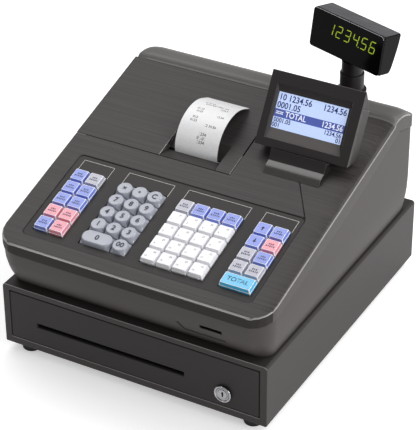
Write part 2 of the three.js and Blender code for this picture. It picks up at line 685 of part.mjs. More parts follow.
function displayRear() {
  const { width, depth } = SCREEN;
  const front = VIEW.frame + GAP;
  const outer = polygon([[front, 1.8], [depth, 10.8], [depth, VIEW.hood], [front, VIEW.hood]]);
  const wall = 2.5;
  const innerTop = VIEW.hood - VIEW.roof;
  const inner = polygon([
    [front - 1, 4.4], [front + 1, 4.6], [depth - wall, 13], [depth - wall, innerTop], [front - 1, innerTop],
  ]);
  const shell = cut(alongX(outer, 0, width), alongX(inner, wall, width - wall));
  const toScreen = screen.matrix.clone().invert();
  const x0 = STAND.left + STAND.ear + STAND.play - SCREEN.left;
  const x1 = STAND.right - STAND.ear - STAND.play - SCREEN.left;
  const axis = new THREE.Vector3(0, SCREEN_HINGE.y, SCREEN_HINGE.z).applyMatrix4(toScreen);
  const barrel = rod(SCREEN_HINGE.barrel, x1 - x0, 16).rotateY(Math.PI / 2).translate(x0, axis.y, axis.z);
  const web = box(x0, x1, front + 0.4, front + 4, axis.z - 0.5, 4);
  const bore = rod(SCREEN_HINGE.pin + GAP, width, 16).rotateY(Math.PI / 2).translate(0, axis.y, axis.z);
  return cut(join(shell, barrel, web), bore);
}

function lcdModule() {
  const { front, rear, bottom, lap } = LCD;
  return box(VIEW.left - lap, VIEW.right + lap, front, rear, bottom, VIEW.hood - VIEW.roof - GAP);
}

function hingePin() {
  const length = STAND.right - STAND.left - 1;
  return rod(SCREEN_HINGE.pin, length, 16).rotateY(Math.PI / 2)
    .translate(STAND.left + 0.5, SCREEN_HINGE.y, SCREEN_HINGE.z);
}

// ---- customer display -----------------------------------------------------------------------

function poleSleeve() {
  const tube = rod(SLEEVE.radius, SLEEVE.height, 32).translate(0, 0, SLEEVE.bottom);
  const flange = rod(SLEEVE.flange, SLEEVE.flangeHeight, 32).translate(0, 0, RIDGE.top + GAP);
  const bore = rod(POLE.radius + 0.4, 100, 32).translate(0, 0, POLE.bottom);
  return cut(join(tube, flange), bore).translate(POLE.x, POLE.y, 0);
}

function customerPole() {
  const tube = rod(POLE.radius, POLE.top - POLE.bottom, 32).translate(0, 0, POLE.bottom);
  const neck = rod(POLE.neck, POLE.neckTop - POLE.top + 2, 24).translate(0, 0, POLE.top - 2);
  const bore = rod(POLE.neck - 2, 120, 24).translate(0, 0, POLE.bottom - 4);
  return cut(join(tube, neck), bore).translate(POLE.x, POLE.y, 0);
}

const head = new THREE.Group();                   // local x, depth behind the centre, height
head.position.set(POLE.x, POLE.y, HEAD.centre);
head.rotation.set(THREE.MathUtils.degToRad(-HEAD.lean), 0, THREE.MathUtils.degToRad(HEAD.yaw), "ZYX");
head.updateMatrix();
register.add(head);

function headOutline(inset) {
  const halfWidth = HEAD.width / 2 - inset;
  const halfHeight = HEAD.height / 2 - inset;
  return roundedShape(-halfWidth, halfWidth, -halfHeight, halfHeight, HEAD.radius - inset / 2);
}

function headSlab(outline, from, to) {            // outline in (x, height), carried back in depth
  const slab = new THREE.ExtrudeGeometry(outline, { depth: to - from, bevelEnabled: false });
  return slab.rotateX(Math.PI / 2).translate(0, to, 0);
}

// An upright rod on the pole's axis, in the head's own leaning frame.
function uprightInHead(radius, bottom, top) {
  const upright = rod(radius, top - bottom, 24).translate(POLE.x, POLE.y, bottom);
  return upright.applyMatrix4(head.matrix.clone().invert());
}

function headBody(inset, from) {                  // its back bulges and narrows towards the lower edge
  const back = HEAD_BACK.map(([y, z]) => [y - inset, z]);
  const side = polygon([[from, back[0][1]], ...back, [from, back.at(-1)[1]]]);
  return common(headSlab(headOutline(inset), from, HEAD.depth), alongX(side, -HEAD.width, HEAD.width));
}

function customerHousing() {
  const front = -HEAD.forward + HEAD.window + GAP;
  const shell = cut(headBody(0, front), headBody(HEAD.wall, front - 1));
  const socket = common(uprightInHead(POLE.neck + 2.2, 290, POLE.neckTop + 2), headBody(0.5, front));
  return cut(join(shell, socket), uprightInHead(POLE.neck + 0.4, 280, POLE.neckTop + 1));
}

function customerWindow() {
  return headSlab(headOutline(0), -HEAD.forward, -HEAD.forward + HEAD.window);
}

function digitModule() {
  const front = -HEAD.forward + HEAD.window + 0.8;
  return box(-36, 36, front, front + 5, -2, 20);
}

// ---- electronics ----------------------------------------------------------------------------

function mainBoard() {
  const plate = box(-60, 130, -80, 40, 108, 109.6);
  const processor = box(0, 22, -40, -18, 109.4, 113);
  const capacitor = rod(5, 12, 12).translate(60, 10, 109.4);
  const battery = rod(9, 5, 16).translate(-30, 10, 109.4);
  return join(plate, processor, capacitor, battery);
}

function powerSupply() {
  const core = box(-150, -90, 118, 168, 100, 140);
  const winding = box(-138, -102, 110, 176, 106, 134);
  return join(core, winding);
}

// ---- assembly -------------------------------------------------------------------------------

add("cabinet_shell", cabinetShell(), "paintedSteel");
addFeet();
add("runner_left", runner(-1), "steel");
add("runner_right", runner(1), "steel");
add("drawer_latch", drawerLatch(), "steel").position.set(0, LATCH.y, LATCH.z);
add("drawer_face", drawerFace(), "paintedSteel");
add("drawer_tray", drawerTray(), "paintedSteel");
add("till_insert", tillInsert(), "blackPlastic");
addBillClips();
addLock();
add("lower_housing", lowerHousing(), "housingPlastic");
add("top_cover", topCover(), "darkPlastic");
add("keyboard_panel", keyboardPanel(), "blackPlastic", slope);
add("keyboard_board", keyboardBoard(), "board", slope);
addKeys();
add("printer_cover", printerCover(), "darkPlastic");
add("receipt_paper", receiptPaper(), "paper");
add("printer_frame", printerFrame(), "blackPlastic", slope);
const platen = rollerOnAxle(PLATEN, PRINTER.width / 2 - 1, 20);
add("platen_roller", platen, "rubber", slope).position.set(PRINTER.x, PLATEN.s, PLATEN.d);
const paperRoll = rollerOnAxle(ROLL, PAPER.halfWidth, 32);
add("paper_roll", paperRoll, "paper", slope).position.set(PRINTER.x, ROLL.s, ROLL.d);
add("display_stand", displayStand(), "darkPlastic");
add("display_hinge_pin", hingePin(), "steel");
add("display_front", displayFront(), "blackPlastic", screen);
add("display_rear", displayRear(), "housingPlastic", screen);
add("lcd_module", lcdModule(), "screen", screen);
add("pole_sleeve", poleSleeve(), "blackPlastic");
add("customer_pole", customerPole(), "blackPlastic");
add("customer_housing", customerHousing(), "glossBlack", head);
add("customer_window", customerWindow(), "glossBlack", head);
add("digit_module", digitModule(), "blackPlastic", head);
add("main_board", mainBoard(), "board");
add("power_supply", powerSupply(), "steel");
add("cord_gland", cordGland(), "rubber");

export default register;
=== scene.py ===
import json
import math

import bmesh
import bpy
from mathutils import Matrix, Vector
from mathutils.bvhtree import BVHTree


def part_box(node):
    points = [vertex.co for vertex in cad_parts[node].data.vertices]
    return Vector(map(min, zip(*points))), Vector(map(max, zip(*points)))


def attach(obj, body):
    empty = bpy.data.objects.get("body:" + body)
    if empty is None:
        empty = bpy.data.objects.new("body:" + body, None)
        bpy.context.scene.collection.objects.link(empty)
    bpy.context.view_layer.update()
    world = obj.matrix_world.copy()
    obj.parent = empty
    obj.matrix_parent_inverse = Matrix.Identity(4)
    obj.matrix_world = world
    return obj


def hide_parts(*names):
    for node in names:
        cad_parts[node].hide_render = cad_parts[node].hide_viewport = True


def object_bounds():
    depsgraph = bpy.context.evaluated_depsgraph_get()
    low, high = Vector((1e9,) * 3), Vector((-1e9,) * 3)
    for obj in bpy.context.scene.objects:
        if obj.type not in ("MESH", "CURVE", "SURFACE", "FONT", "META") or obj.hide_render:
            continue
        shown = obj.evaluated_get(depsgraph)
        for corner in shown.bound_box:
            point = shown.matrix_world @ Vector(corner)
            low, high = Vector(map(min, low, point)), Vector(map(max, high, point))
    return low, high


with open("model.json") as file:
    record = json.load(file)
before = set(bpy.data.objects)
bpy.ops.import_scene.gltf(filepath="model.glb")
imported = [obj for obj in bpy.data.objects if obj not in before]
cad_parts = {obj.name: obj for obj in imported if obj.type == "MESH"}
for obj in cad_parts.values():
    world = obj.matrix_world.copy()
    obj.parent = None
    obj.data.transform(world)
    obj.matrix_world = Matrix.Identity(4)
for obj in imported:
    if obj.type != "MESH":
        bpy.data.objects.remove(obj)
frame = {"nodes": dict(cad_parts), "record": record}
cad_low, cad_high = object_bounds()

MM = 0.001
LIFT = 0.03 * MM  # how far a print stands off what it is printed on

# camera and studio
LIT_POINT = Vector((0, 0, 0.15))
LIGHTS = [  # name, place, size in metres, power in watts
    ("key_light", (1.5, 1.2, 2.2), 1.6, 38),
    ("right_light", (2.4, -0.4, 0.9), 1.2, 34),
    ("top_light", (-1.0, 0.5, 2.0), 1.6, 22),
    ("front_light", (-1.1, -1.9, 1.5), 0.5, 4.5),
]
WORLD_GLOW = 0.27
FLOOR_SIZE = 12
FLOOR_GLOW = 0.42
CAMERA = {
    "place": Vector((0.9911, -1.7808, 1.4287)),
    "azimuth": 29.27,
    "elevation": 32.41,
    "roll": -0.40,
    "lens": 166.55,
    "sensor": 36.0,
}

# materials and faces
NOISE_DETAIL = 4.0
RAMP_ENDS = (0.3, 0.7)  # the noise values that give the darkest and the lightest colour
COAT_ROUGHNESS = 0.06
SCREEN_ROUGHNESS = 0.4
SLIGHT = 0.2  # least part of a normal that counts as facing a way
RIM_WIDTH = 12 * MM
SKIRT_NORMAL = {"y": -0.35, "z": 0.3}
SKIRT_REAR = -100 * MM
RIM_NORMAL_Y = -0.4
RIM_NORMAL_Z = (0.55, 0.9)
FRONT_RIM_DEPTH = 4 * MM
RIDGE_FRONT = 125.5 * MM
RIDGE_NORMAL_Z = 0.15
LIP_TOP = 225.7 * MM  # top of the display stand's lip
POCKET = {"left": 114 * MM, "right": 194 * MM, "length": 43.5 * MM, "sunk": 0.4 * MM}
WELD = 0.01 * MM
FLAT_ANGLE = math.radians(1)  # faces that meet at less than this become one
SHARP_ANGLE = math.radians(32)  # edges that turn by more than this are rounded
RIDGE_END = {
    "start": 160 * MM, "length": 20 * MM, "drop": 6.5 * MM, "from_y": 124.6 * MM, "from_z": 236 * MM,
    "fade": 10 * MM, "cuts": (0.1, 0.35, 0.55, 0.7, 0.82, 0.92),
}

# keyboard
KEY_SIZE = 19.7 * MM  # foot of a square key
CAP_CORNER = 1.1 * MM
CAP_STEPS = 3  # faces round each corner of a square cap
CAP_DISH = 0.15 * MM  # how far the middle of a cap lies below its rim
FOOT_RISE = 0.8 * MM  # from a column's web up to the foot of its caps
DEPARTMENT_COUNT = 20
BLOCK = {
    "pitch": 2.3 * MM, "left": 0.3 * MM, "right": 1.7 * MM, "rise": 1.7 * MM, "line": 3.5 * MM,
    "half": 1.2 * MM, "shorter": 0.3 * MM,
}
ARROW = {"head": 2.3 * MM, "tip": 3.4 * MM, "stem": 0.8 * MM, "tail": 3.2 * MM}
SMALL_MARK = {"size": 3.2 * MM, "x": -4.6 * MM, "y": -3.6 * MM}
LARGE_MARK = {"size": 3.4 * MM, "x": 3.6 * MM, "y": 4.0 * MM}
TOTAL_SIZE = 8.6 * MM
LEGEND_SIZE = 10.0 * MM
GLYPH_WEIGHT = 0.018
SQUARE_COLORS = {
    "left": ["blue pale", "blue blue", "blue blue", "pink pink", "blue pink"],
    "department": ["pale blue blue blue"] + ["white white white white"] * 4,
    "right": ["blue blue", "blue pink", "pale blue", "pale pale"],
}
LINE_WIDTH = 0.45 * MM
LINE_TOP = 6.5 * MM  # from the panel's visible rear edge to the cross line
LINE_MARGIN = 0.8 * MM  # from the keys out to the line beside them
PANEL_FLANGE = 4 * MM  # what of the panel lies under the cover

# displays
WINDOW_LOW = Vector((10.6, 0, 11.5)) * MM  # the window in the display's front, from its corner
WINDOW_HIGH = Vector((108.5, 0, 75.6)) * MM
GLASS_LOW = Vector((13.4, 0, 24.0)) * MM  # what shows of the LCD
GLASS_HIGH = Vector((104.4, 0, 67.5)) * MM
GLASS_DEPTH = 4.6 * MM  # where the LCD's face lies behind the display's
SCREEN_DROP = 0.6 * MM  # from the node's lower edge down to where heights start
BEZEL = {"outer": 1.4 * MM, "clear": 0.2 * MM, "thick": 0.25 * MM}
LCD_MARGIN = 1.5 * MM
LCD_STRETCH = 0.92
LCD_ROWS = [  # height as a share, size in mm, text at left and at right
    (0.86, 10.4, "10 1234.56", "1234.56"),
    (0.64, 10.4, "0001.05", ""),
    (0.42, 9.4, "== TOTAL", "1234.56"),
    (0.225, 7.6, "0001.05", "1234.56"),
    (0.085, 7.6, "001", "01"),
]
LCD_BAND = (0.31, 0.53)  # lower and upper edge of the highlighted row, as shares
SEGMENTS = {"1": "bc", "2": "abged", "3": "abgcd", "4": "fgbc", "5": "afgcd", "6": "afgedc"}
SEGMENT_ENDS = {  # both ends of a stroke in half widths and half heights
    "a": ((-1, 1), (1, 1)), "b": ((1, 1), (1, 0)), "c": ((1, 0), (1, -1)), "d": ((-1, -1), (1, -1)),
    "e": ((-1, 0), (-1, -1)), "f": ((-1, 1), (-1, 0)), "g": ((-1, 0), (1, 0)),
}
DIGIT = {
    "width": 7.8 * MM, "height": 14.6 * MM, "pitch": 13.6 * MM, "stroke": 1.15 * MM, "slant": 0.2,
    "gap": 0.35 * MM, "rise": 6.6 * MM, "point": 0.55,
}
SHOWN_PRICE = "1234.56"
FIRST_DIGIT = -25.6 * MM  # from the window's middle
HEAD_TAPER = (20.2, 19.9, -9.1)  # depth in mm from the face, against the share of height
HEAD_STEPS = 14
HEAD_ROUND = 1.6 * MM
HEAD_LEFT = [(0, 2.6), (0.5, 1.2), (1.4, 0.4), (3, 0)]  # distance from the end and inset, in mm
HEAD_RIGHT = [(2, 0), (0.8, 0.3), (0.2, 0.9), (0, 1.6)]
HEAD_TOP_NORMAL = 0.8

# receipt and small mouldings
PAPER_THICK = 0.16 * MM
PAPER_STEPS = 60
CURVE_STEPS = 12  # points on the curve from one given point to the next
TURN_CENTRE_DROP = 5 * MM  # the sheet is sorted by angle about a point below it
PAPER_EDGE = 0.1 * MM
RECEIPT_LINES = [  # distance from the slot in mm, size, x offset, text
    (22, 5.2, 4, "1234"), (27, 5.2, 4, "01-01"), (32, 5.2, 4, "1234"),
    (44, 4.6, 10, "12 34.56"), (47, 4.6, -14, "0123"), (52, 4.6, -14, "012"),
    (62, 4.2, -13, "0123"), (60, 4.2, 16, "12.34"), (67, 4.2, -14, "01.23"),
    (74, 3.8, 14, "1234.5"), (79, 3.8, 2, "0123 4567 8901 234"), (84, 3.8, -10, "01 02 03"),
]
TEAR_BAR = {  # from the printer cover's lower left corner and its top
    "tooth": 1.3 * MM, "height": 1.1 * MM, "thick": 0.6 * MM, "base": 1.6 * MM,
    "y": 18.6 * MM, "depth": 8.4 * MM, "left": 117.4 * MM, "right": 191.3 * MM,
}
LOCK_RING = [  # radius and distance out from the lock's face, in mm
    (10.9, -0.4), (11.0, 0.3), (10.6, 0.8), (10.0, 0.95), (9.3, 0.7), (8.7, 0.1), (8.5, -0.4),
]
LOCK_CONE = [(8.6, 0.05), (6.4, -0.1), (6.4, -0.5), (8.6, -0.5)]
KEYHOLE = {"radius": 1.5, "rise": 1.0, "foot": -3.6, "wide": 0.8, "narrow": 0.6}  # in mm
LATHE_STEPS = 48
KEYHOLE_STEPS = 24
CARD_LINE = [(64.0, 123.6), (71.0, 112.7), (124.0, 112.7)]  # x and z in mm of the recess's edge
# The dark strip along the card recess's edge: painted shade of its step.
RECESS = {"width": 2.8 * MM, "proud": 0.3 * MM, "thick": 0.4 * MM}
RECESS_STEPS = 12
RAY_START = 10 * MM  # how far in front of the object its front is looked for


# ---- camera and studio


def add_camera():
    azimuth = math.radians(CAMERA["azimuth"])
    elevation = math.radians(CAMERA["elevation"])
    roll = math.radians(CAMERA["roll"])
    back = Vector((
        math.sin(azimuth) * math.cos(elevation),
        -math.cos(azimuth) * math.cos(elevation),
        math.sin(elevation),
    ))
    level_right = Vector((0, 0, 1)).cross(back).normalized()
    level_up = back.cross(level_right)
    right = math.cos(roll) * level_right + math.sin(roll) * level_up
    up = math.cos(roll) * level_up - math.sin(roll) * level_right
    data = bpy.data.cameras.new("camera")
    data.lens = CAMERA["lens"]
    data.sensor_width = CAMERA["sensor"]
    data.clip_start = 0.05
    data.clip_end = 50
    camera = bpy.data.objects.new("camera", data)
    turn = Matrix((right, up, back)).transposed().to_4x4()
    camera.matrix_world = Matrix.Translation(CAMERA["place"]) @ turn
    bpy.context.scene.collection.objects.link(camera)
    bpy.context.scene.camera = camera


def add_area_light(name, place, size, power):
    """A square light that points at the middle of the object."""
    data = bpy.data.lights.new(name, "AREA")
    data.size = size
    data.energy = power
    light = bpy.data.objects.new(name, data)
    towards = LIT_POINT - Vector(place)
    turn = towards.to_track_quat("-Z", "Y").to_matrix().to_4x4()
    light.matrix_world = Matrix.Translation(place) @ turn
    bpy.context.scene.collection.objects.link(light)


def add_studio():
    world = bpy.data.worlds.new("studio")
    world.use_nodes = True
    background = world.node_tree.nodes["Background"]
    background.inputs["Color"].default_value = (1, 1, 1, 1)
    background.inputs["Strength"].default_value = WORLD_GLOW
    bpy.context.scene.world = world
    bpy.context.scene.view_settings.view_transform = "Standard"
    for light in LIGHTS:
        add_area_light(*light)


# ---- materials


MATERIALS = {}  # filled by shader


def shader(name, color, roughness):
    material = bpy.data.materials.new(name)
    MATERIALS[name] = material
    material.use_nodes = True
    principled = material.node_tree.nodes["Principled BSDF"]
    principled.inputs["Base Color"].default_value = (*color, 1)
    principled.inputs["Roughness"].default_value = roughness
    return material, principled


def tree_of(material):
    return material.node_tree.nodes, material.node_tree.links


def add_noise(material, stretch, distortion=0.0):
    """A noise over the object's own metres; stretch is the number of grains per metre along X, Y and Z."""
    nodes, links = tree_of(material)
    place = nodes.new("ShaderNodeTexCoord")
    mapping = nodes.new("ShaderNodeMapping")
    mapping.inputs["Scale"].default_value = stretch
    noise = nodes.new("ShaderNodeTexNoise")
    noise.inputs["Scale"].default_value = 1.0
    noise.inputs["Detail"].default_value = NOISE_DETAIL
    noise.inputs["Distortion"].default_value = distortion
    links.new(place.outputs["Object"], mapping.inputs["Vector"])
    links.new(mapping.outputs["Vector"], noise.inputs["Vector"])
    return noise.outputs["Fac"]


def vary_color(material, principled, factor, dark, light):
    nodes, links = tree_of(material)
    ramp = nodes.new("ShaderNodeValToRGB")
    for element, position, color in zip(ramp.color_ramp.elements, RAMP_ENDS, (dark, light)):
        element.position = position
        element.color = (*color, 1)
    links.new(factor, ramp.inputs["Fac"])
    links.new(ramp.outputs["Color"], principled.inputs["Base Color"])


def vary_roughness(material, principled, factor, low, high):
    nodes, links = tree_of(material)
    spread = nodes.new("ShaderNodeMapRange")
    spread.inputs["To Min"].default_value = low
    spread.inputs["To Max"].default_value = high
    links.new(factor, spread.inputs["Value"])
    links.new(spread.outputs["Result"], principled.inputs["Roughness"])


def add_bump(material, principled, factor, strength, depth):
    nodes, links = tree_of(material)
    bump = nodes.new("ShaderNodeBump")
    bump.inputs["Strength"].default_value = strength
    bump.inputs["Distance"].default_value = depth
    links.new(factor, bump.inputs["Height"])
    links.new(bump.outputs["Normal"], principled.inputs["Normal"])


def scaled(color, share):
    return tuple(channel * share for channel in color)


def grained(name, color, roughness, grains=1400, contrast=0.12, bump=0.25, gloss=0.25):
    """Moulded plastic or paint: fine even grain in colour, gloss and surface."""
    material, principled = shader(name, color, roughness)
    principled.inputs["Specular IOR Level"].default_value = gloss
    factor = add_noise(material, (grains, grains, grains))
    vary_color(material, principled, factor, scaled(color, 1 - contrast), scaled(color, 1 + contrast))
    vary_roughness(material, principled, factor, roughness - 0.05, roughness + 0.05)
    add_bump(material, principled, factor, bump, 0.1 * MM)


def streaked(name, color, roughness, contrast=0.4, gloss=0.3):
    """Plastic with long fine wavering streaks along X."""
    material, principled = shader(name, color, roughness)
    principled.inputs["Specular IOR Level"].default_value = gloss
    factor = add_noise(material, (7, 560, 560), distortion=0.4)
    vary_color(material, principled, factor, scaled(color, 1 - contrast), scaled(color, 1 + contrast))
    vary_roughness(material, principled, factor, roughness - 0.06, roughness + 0.08)
    add_bump(material, principled, factor, 0.18, 0.08 * MM)


def brushed(name, color, roughness):
    """Metal with fine scratches along X."""
    material, principled = shader(name, color, roughness)
    principled.inputs["Metallic"].default_value = 1.0
    factor = add_noise(material, (60, 2200, 2200))
    vary_color(material, principled, factor, scaled(color, 0.88), color)
    vary_roughness(material, principled, factor, roughness - 0.06, roughness + 0.1)
    add_bump(material, principled, factor, 0.1, 0.05 * MM)


def glossy(name, color, roughness=0.12, coat=0.5, gloss=0.5):
    """Smooth moulded plastic under a clear coat."""
    material, principled = shader(name, color, roughness)
    principled.inputs["Specular IOR Level"].default_value = gloss
    principled.inputs["Coat Weight"].default_value = coat
    principled.inputs["Coat Roughness"].default_value = COAT_ROUGHNESS
    factor = add_noise(material, (350, 350, 350))
    vary_color(material, principled, factor, scaled(color, 0.94), scaled(color, 1.03))
    vary_roughness(material, principled, factor, max(roughness - 0.03, 0.02), roughness + 0.05)


def glowing(name, color, strength):
    """Glow for a lit screen and lit digits, which give off light, and for paper, where the glow is painted
    light that keeps it white.
    """
    material, principled = shader(name, color, SCREEN_ROUGHNESS)
    factor = add_noise(material, (500, 500, 500))
    vary_color(material, principled, factor, scaled(color, 0.9), color)
    principled.inputs["Emission Color"].default_value = (*color, 1)
    principled.inputs["Emission Strength"].default_value = strength


streaked("top_plastic", (0.042, 0.037, 0.0355), 0.47)
# Lighter edge colour on the covers' rounded rims: a painted highlight for the light the edges catch.
glossy("top_edge_highlight", (0.28, 0.27, 0.265), 0.25, 0.2)
# Lighter colour on the front rim's rounding: a painted highlight.
glossy("front_edge_highlight", (0.3, 0.29, 0.285), 0.25, 0.3)
# Darker copy of the top plastic for the front skirt: painted shade.
streaked("skirt_shade", (0.02, 0.017, 0.016), 0.5, contrast=0.12, gloss=0.15)
# Lighter copy of the top plastic for the rear ridge: a painted reflection of the light from behind.
grained("ridge_highlight", (0.13, 0.125, 0.12), 0.4)
# Darker copy of the cover plastic for the sunken pocket: painted shade in the recess.
streaked("pocket_shade", (0.034, 0.03, 0.029), 0.5, contrast=0.2)
streaked("panel_plastic", (0.022, 0.019, 0.018), 0.48, contrast=0.15)
grained("housing_plastic", (0.044, 0.039, 0.037), 0.5)
grained("display_plastic", (0.019, 0.016, 0.0155), 0.45)
# Lighter copy for the bezel's lower side: a painted highlight for the light it catches.
grained("bezel_highlight", (0.105, 0.097, 0.093), 0.35, gloss=0.5)
# Slightly lighter copy of the display plastic for the rear shell: painted light for its lit sides.
grained("display_side_lit", (0.022, 0.0195, 0.019), 0.45)
# Lighter, glossier copy of the display plastic for the stand: painted light on the lip that faces up.
glossy("stand_lit_plastic", (0.04, 0.036, 0.034), 0.25, 0.4)
# Lighter colour on the displays' and stand's up-facing rounded edges: a painted highlight.
glossy("display_edge_highlight", (0.05, 0.045, 0.043), 0.3, 0.1)
grained("black_plastic", (0.013, 0.0115, 0.011), 0.42)
glossy("gloss_black", (0.0025, 0.0025, 0.003), 0.12, 0.0, 0.05)
# Grey on the customer window's up-facing rounded edges: a painted highlight.
glossy("gloss_edge_highlight", (0.3, 0.3, 0.31), 0.15, 0.3)
streaked("head_plastic", (0.003, 0.003, 0.0035), 0.3, gloss=0.08)
# Lighter grey for the head's up-facing faces: a painted sheen of the light from above.
streaked("head_top_sheen", (0.085, 0.084, 0.09), 0.3, gloss=0.4)
grained("cabinet_paint", (0.032, 0.028, 0.027), 0.5, grains=900, bump=0.35)
# Lighter colour on the cabinet's up-facing rounded edges: a painted highlight.
grained("cabinet_edge_highlight", (0.26, 0.25, 0.245), 0.35, grains=900)
grained("face_paint", (0.019, 0.016, 0.0155), 0.5, grains=900, bump=0.35)
brushed("steel", (0.3, 0.3, 0.31), 0.4)
brushed("chrome", (0.4, 0.4, 0.42), 0.14)
brushed("steel_dark", (0.12, 0.12, 0.12), 0.35)
grained("rubber", (0.012, 0.012, 0.012), 0.75, grains=700, bump=0.4)
grained("circuit_board", (0.02, 0.11, 0.045), 0.4, grains=500, contrast=0.4)
glossy("key_grey", (0.38, 0.395, 0.455), 0.28, 0.3)
glossy("key_edge", (0.86, 0.87, 0.92), 0.1, 0.8)
glossy("key_blue", (0.17, 0.24, 0.72))
glossy("key_pink", (0.82, 0.28, 0.36))
glossy("key_white", (0.86, 0.86, 0.88))
glossy("key_pale", (0.42, 0.42, 0.5))
glossy("key_cyan", (0.08, 0.5, 0.82))
grained("legend_dark", (0.045, 0.045, 0.08), 0.5, contrast=0.05)
grained("legend_light", (0.75, 0.72, 0.68), 0.5, contrast=0.05)
glowing("lcd", (0.5, 0.62, 0.92), 0.42)
glowing("lcd_white", (0.75, 0.8, 0.95), 0.4)
grained("lcd_ink", (0.02, 0.035, 0.2), 0.4, contrast=0.05)
glossy("lcd_band", (0.05, 0.1, 0.5), 0.3, 0.0)
glowing("digit_glow", (0.36, 0.5, 0.01), 0.45)
# The paper's slight glow is painted light that keeps the sheet white.
glowing("paper", (0.8, 0.8, 0.81), 0.1)
grained("paper_ink", (0.09, 0.09, 0.1), 0.7, contrast=0.1)
grained("floor", (0.9, 0.9, 0.9), 0.7, grains=6, contrast=0.01, bump=0.0)


# ---- mesh helpers

def add_piece(name, bm, materials, body, replaces=(), smooth=35.0, crisp=False):
    """Makes one object of a bmesh, in the row frame, riding on a body; crisp keeps its flat faces flat."""
    bmesh.ops.recalc_face_normals(bm, faces=bm.faces)
    mesh = bpy.data.meshes.new(name)
    bm.to_mesh(mesh)
    bm.free()
    for material in materials:
        mesh.materials.append(MATERIALS[material])
    mesh.shade_smooth()
    mesh.set_sharp_from_angle(angle=math.radians(smooth))
    piece = bpy.data.objects.new(name, mesh)
    bpy.context.scene.collection.objects.link(piece)
    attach(piece, body)
    if replaces:
        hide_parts(*replaces)
    if crisp:
        piece.modifiers.new("normals", "WEIGHTED_NORMAL").keep_sharp = True


def body_of_node(node):
    bodies = frame["record"]["behaviour"]["bodies"]
    return next(body for body, nodes in bodies.items() if node in nodes)


def slot_of_node(node):
    return next(row["material_slot"] for row in frame["record"]["subparts"] if row["node"] == node)


def is_any(normal, centre):
    return True


def faces_up(normal, centre):
    return normal.z > SLIGHT


# The printer cover's right-hand rounded edges, which get the painted highlight.
def is_right_rim(normal, centre):
    return normal.x > SLIGHT and normal.z > SLIGHT


def is_outer_rim(normal, centre):
    """The long edges that run round the cover, not those of its openings; their rounding gets a painted
    highlight.
    """
    outside = abs(centre.x) > cad_high.x - RIM_WIDTH or centre.y < cad_low.y + RIM_WIDTH
    return faces_up(normal, centre) and outside


def is_front_skirt(normal, centre):
    """The upright band below the cover's front edge, painted darker as painted shade."""
    return normal.y < SKIRT_NORMAL["y"] and normal.z < SKIRT_NORMAL["z"] and centre.y < SKIRT_REAR


def is_front_rim(normal, centre):
    """The middle of the rounding between the slope and the skirt, painted lighter as a painted highlight for
    the light it catches.
    """
    low, high = RIM_NORMAL_Z
    return normal.y < RIM_NORMAL_Y and low < normal.z < high and centre.y < cad_low.y + FRONT_RIM_DEPTH


# The rear ridge, painted lighter as a painted reflection.
def is_ridge(normal, centre):
    return centre.y > RIDGE_FRONT and normal.z > RIDGE_NORMAL_Z


# The stand's upright under the display, which gets the darker display plastic as painted shade.
def is_upright(normal, centre):
    return centre.z > LIP_TOP


def is_display_roof(normal, centre):
    return normal.y > SLIGHT and normal.z > SLIGHT


def is_pocket(normal, centre):
    """The sunken part of the printer's cover, where the paper comes out, painted darker as painted shade."""
    low, high = bounds_in(SLOPE, "printer_cover")
    place = SLOPE.inverted() @ centre
    along = POCKET["left"] < place.x - low.x < POCKET["right"]
    sunken = place.z < high.z - POCKET["sunk"]
    return along and sunken and place.y - low.y < POCKET["length"] and normal.z > 0


def round_ridge_ends(bm):
    """Lowers both ends of the rear ridge along a quarter of an ellipse."""
    for share in RIDGE_END["cuts"]:
        for side in (-1, 1):
            cut = Vector((side * (RIDGE_END["start"] + share * RIDGE_END["length"]), 0, 0))
            geometry = list(bm.verts) + list(bm.edges) + list(bm.faces)
            bmesh.ops.bisect_plane(bm, geom=geometry, plane_co=cut, plane_no=Vector((1, 0, 0)))
    for vertex in bm.verts:
        if vertex.co.y < RIDGE_END["from_y"] or vertex.co.z < RIDGE_END["from_z"]:
            continue
        share = (abs(vertex.co.x) - RIDGE_END["start"]) / RIDGE_END["length"]
        share = min(max(share, 0), 1)
        height = min((vertex.co.z - RIDGE_END["from_z"]) / RIDGE_END["fade"], 1)
        vertex.co.z -= RIDGE_END["drop"] * height * (1 - math.sqrt(1 - share ** 2))


def keep_inside(bm, points):
    """Moves what the rounding pushed past the solid's own box back onto it."""
    for axis in range(3):
        low = min(point[axis] for point in points)
        high = max(point[axis] for point in points)
        for vertex in bm.verts:
            vertex.co[axis] = min(max(vertex.co[axis], low), high)


def refine(node, bevel, material=None):
    """The CAD solid again with its flat faces whole and its sharp edges rounded by the bevel, in mm."""
    bm = bmesh.new()
    bm.from_mesh(frame["nodes"][node].data)
    bmesh.ops.remove_doubles(bm, verts=bm.verts, dist=WELD)
    bmesh.ops.dissolve_limit(bm, angle_limit=FLAT_ANGLE, verts=bm.verts, edges=bm.edges)
    if node == "top_cover":
        round_ridge_ends(bm)
    edge_material, edge_test = EDGES.get(node, (None, None))
    sharp = [
        edge for edge in bm.edges
        if len(edge.link_faces) == 2 and edge.calc_face_angle(0) > SHARP_ANGLE
    ]
    if bevel:
        bmesh.ops.bevel(
            bm, geom=sharp, offset=bevel * MM, offset_type="OFFSET", segments=2, profile=0.5,
            affect="EDGES", clamp_overlap=False, material=1 if edge_material else -1,
        )
    keep_inside(bm, node_points(node))
    slot = slot_of_node(node)
    materials = [material or slot] + ([edge_material] if edge_material else [])
    for face in bm.faces:
        if face.material_index == 1 and not edge_test(face.normal, face.calc_center_median()):
            face.material_index = 0
    for tint, test in TINTS.get(node, []):
        materials.append(tint)
        for face in bm.faces:
            if face.material_index == 0 and test(face.normal, face.calc_center_median()):
                face.material_index = len(materials) - 1
    add_piece(f"{node}_shell", bm, materials, body_of_node(node), [node], crisp=True)


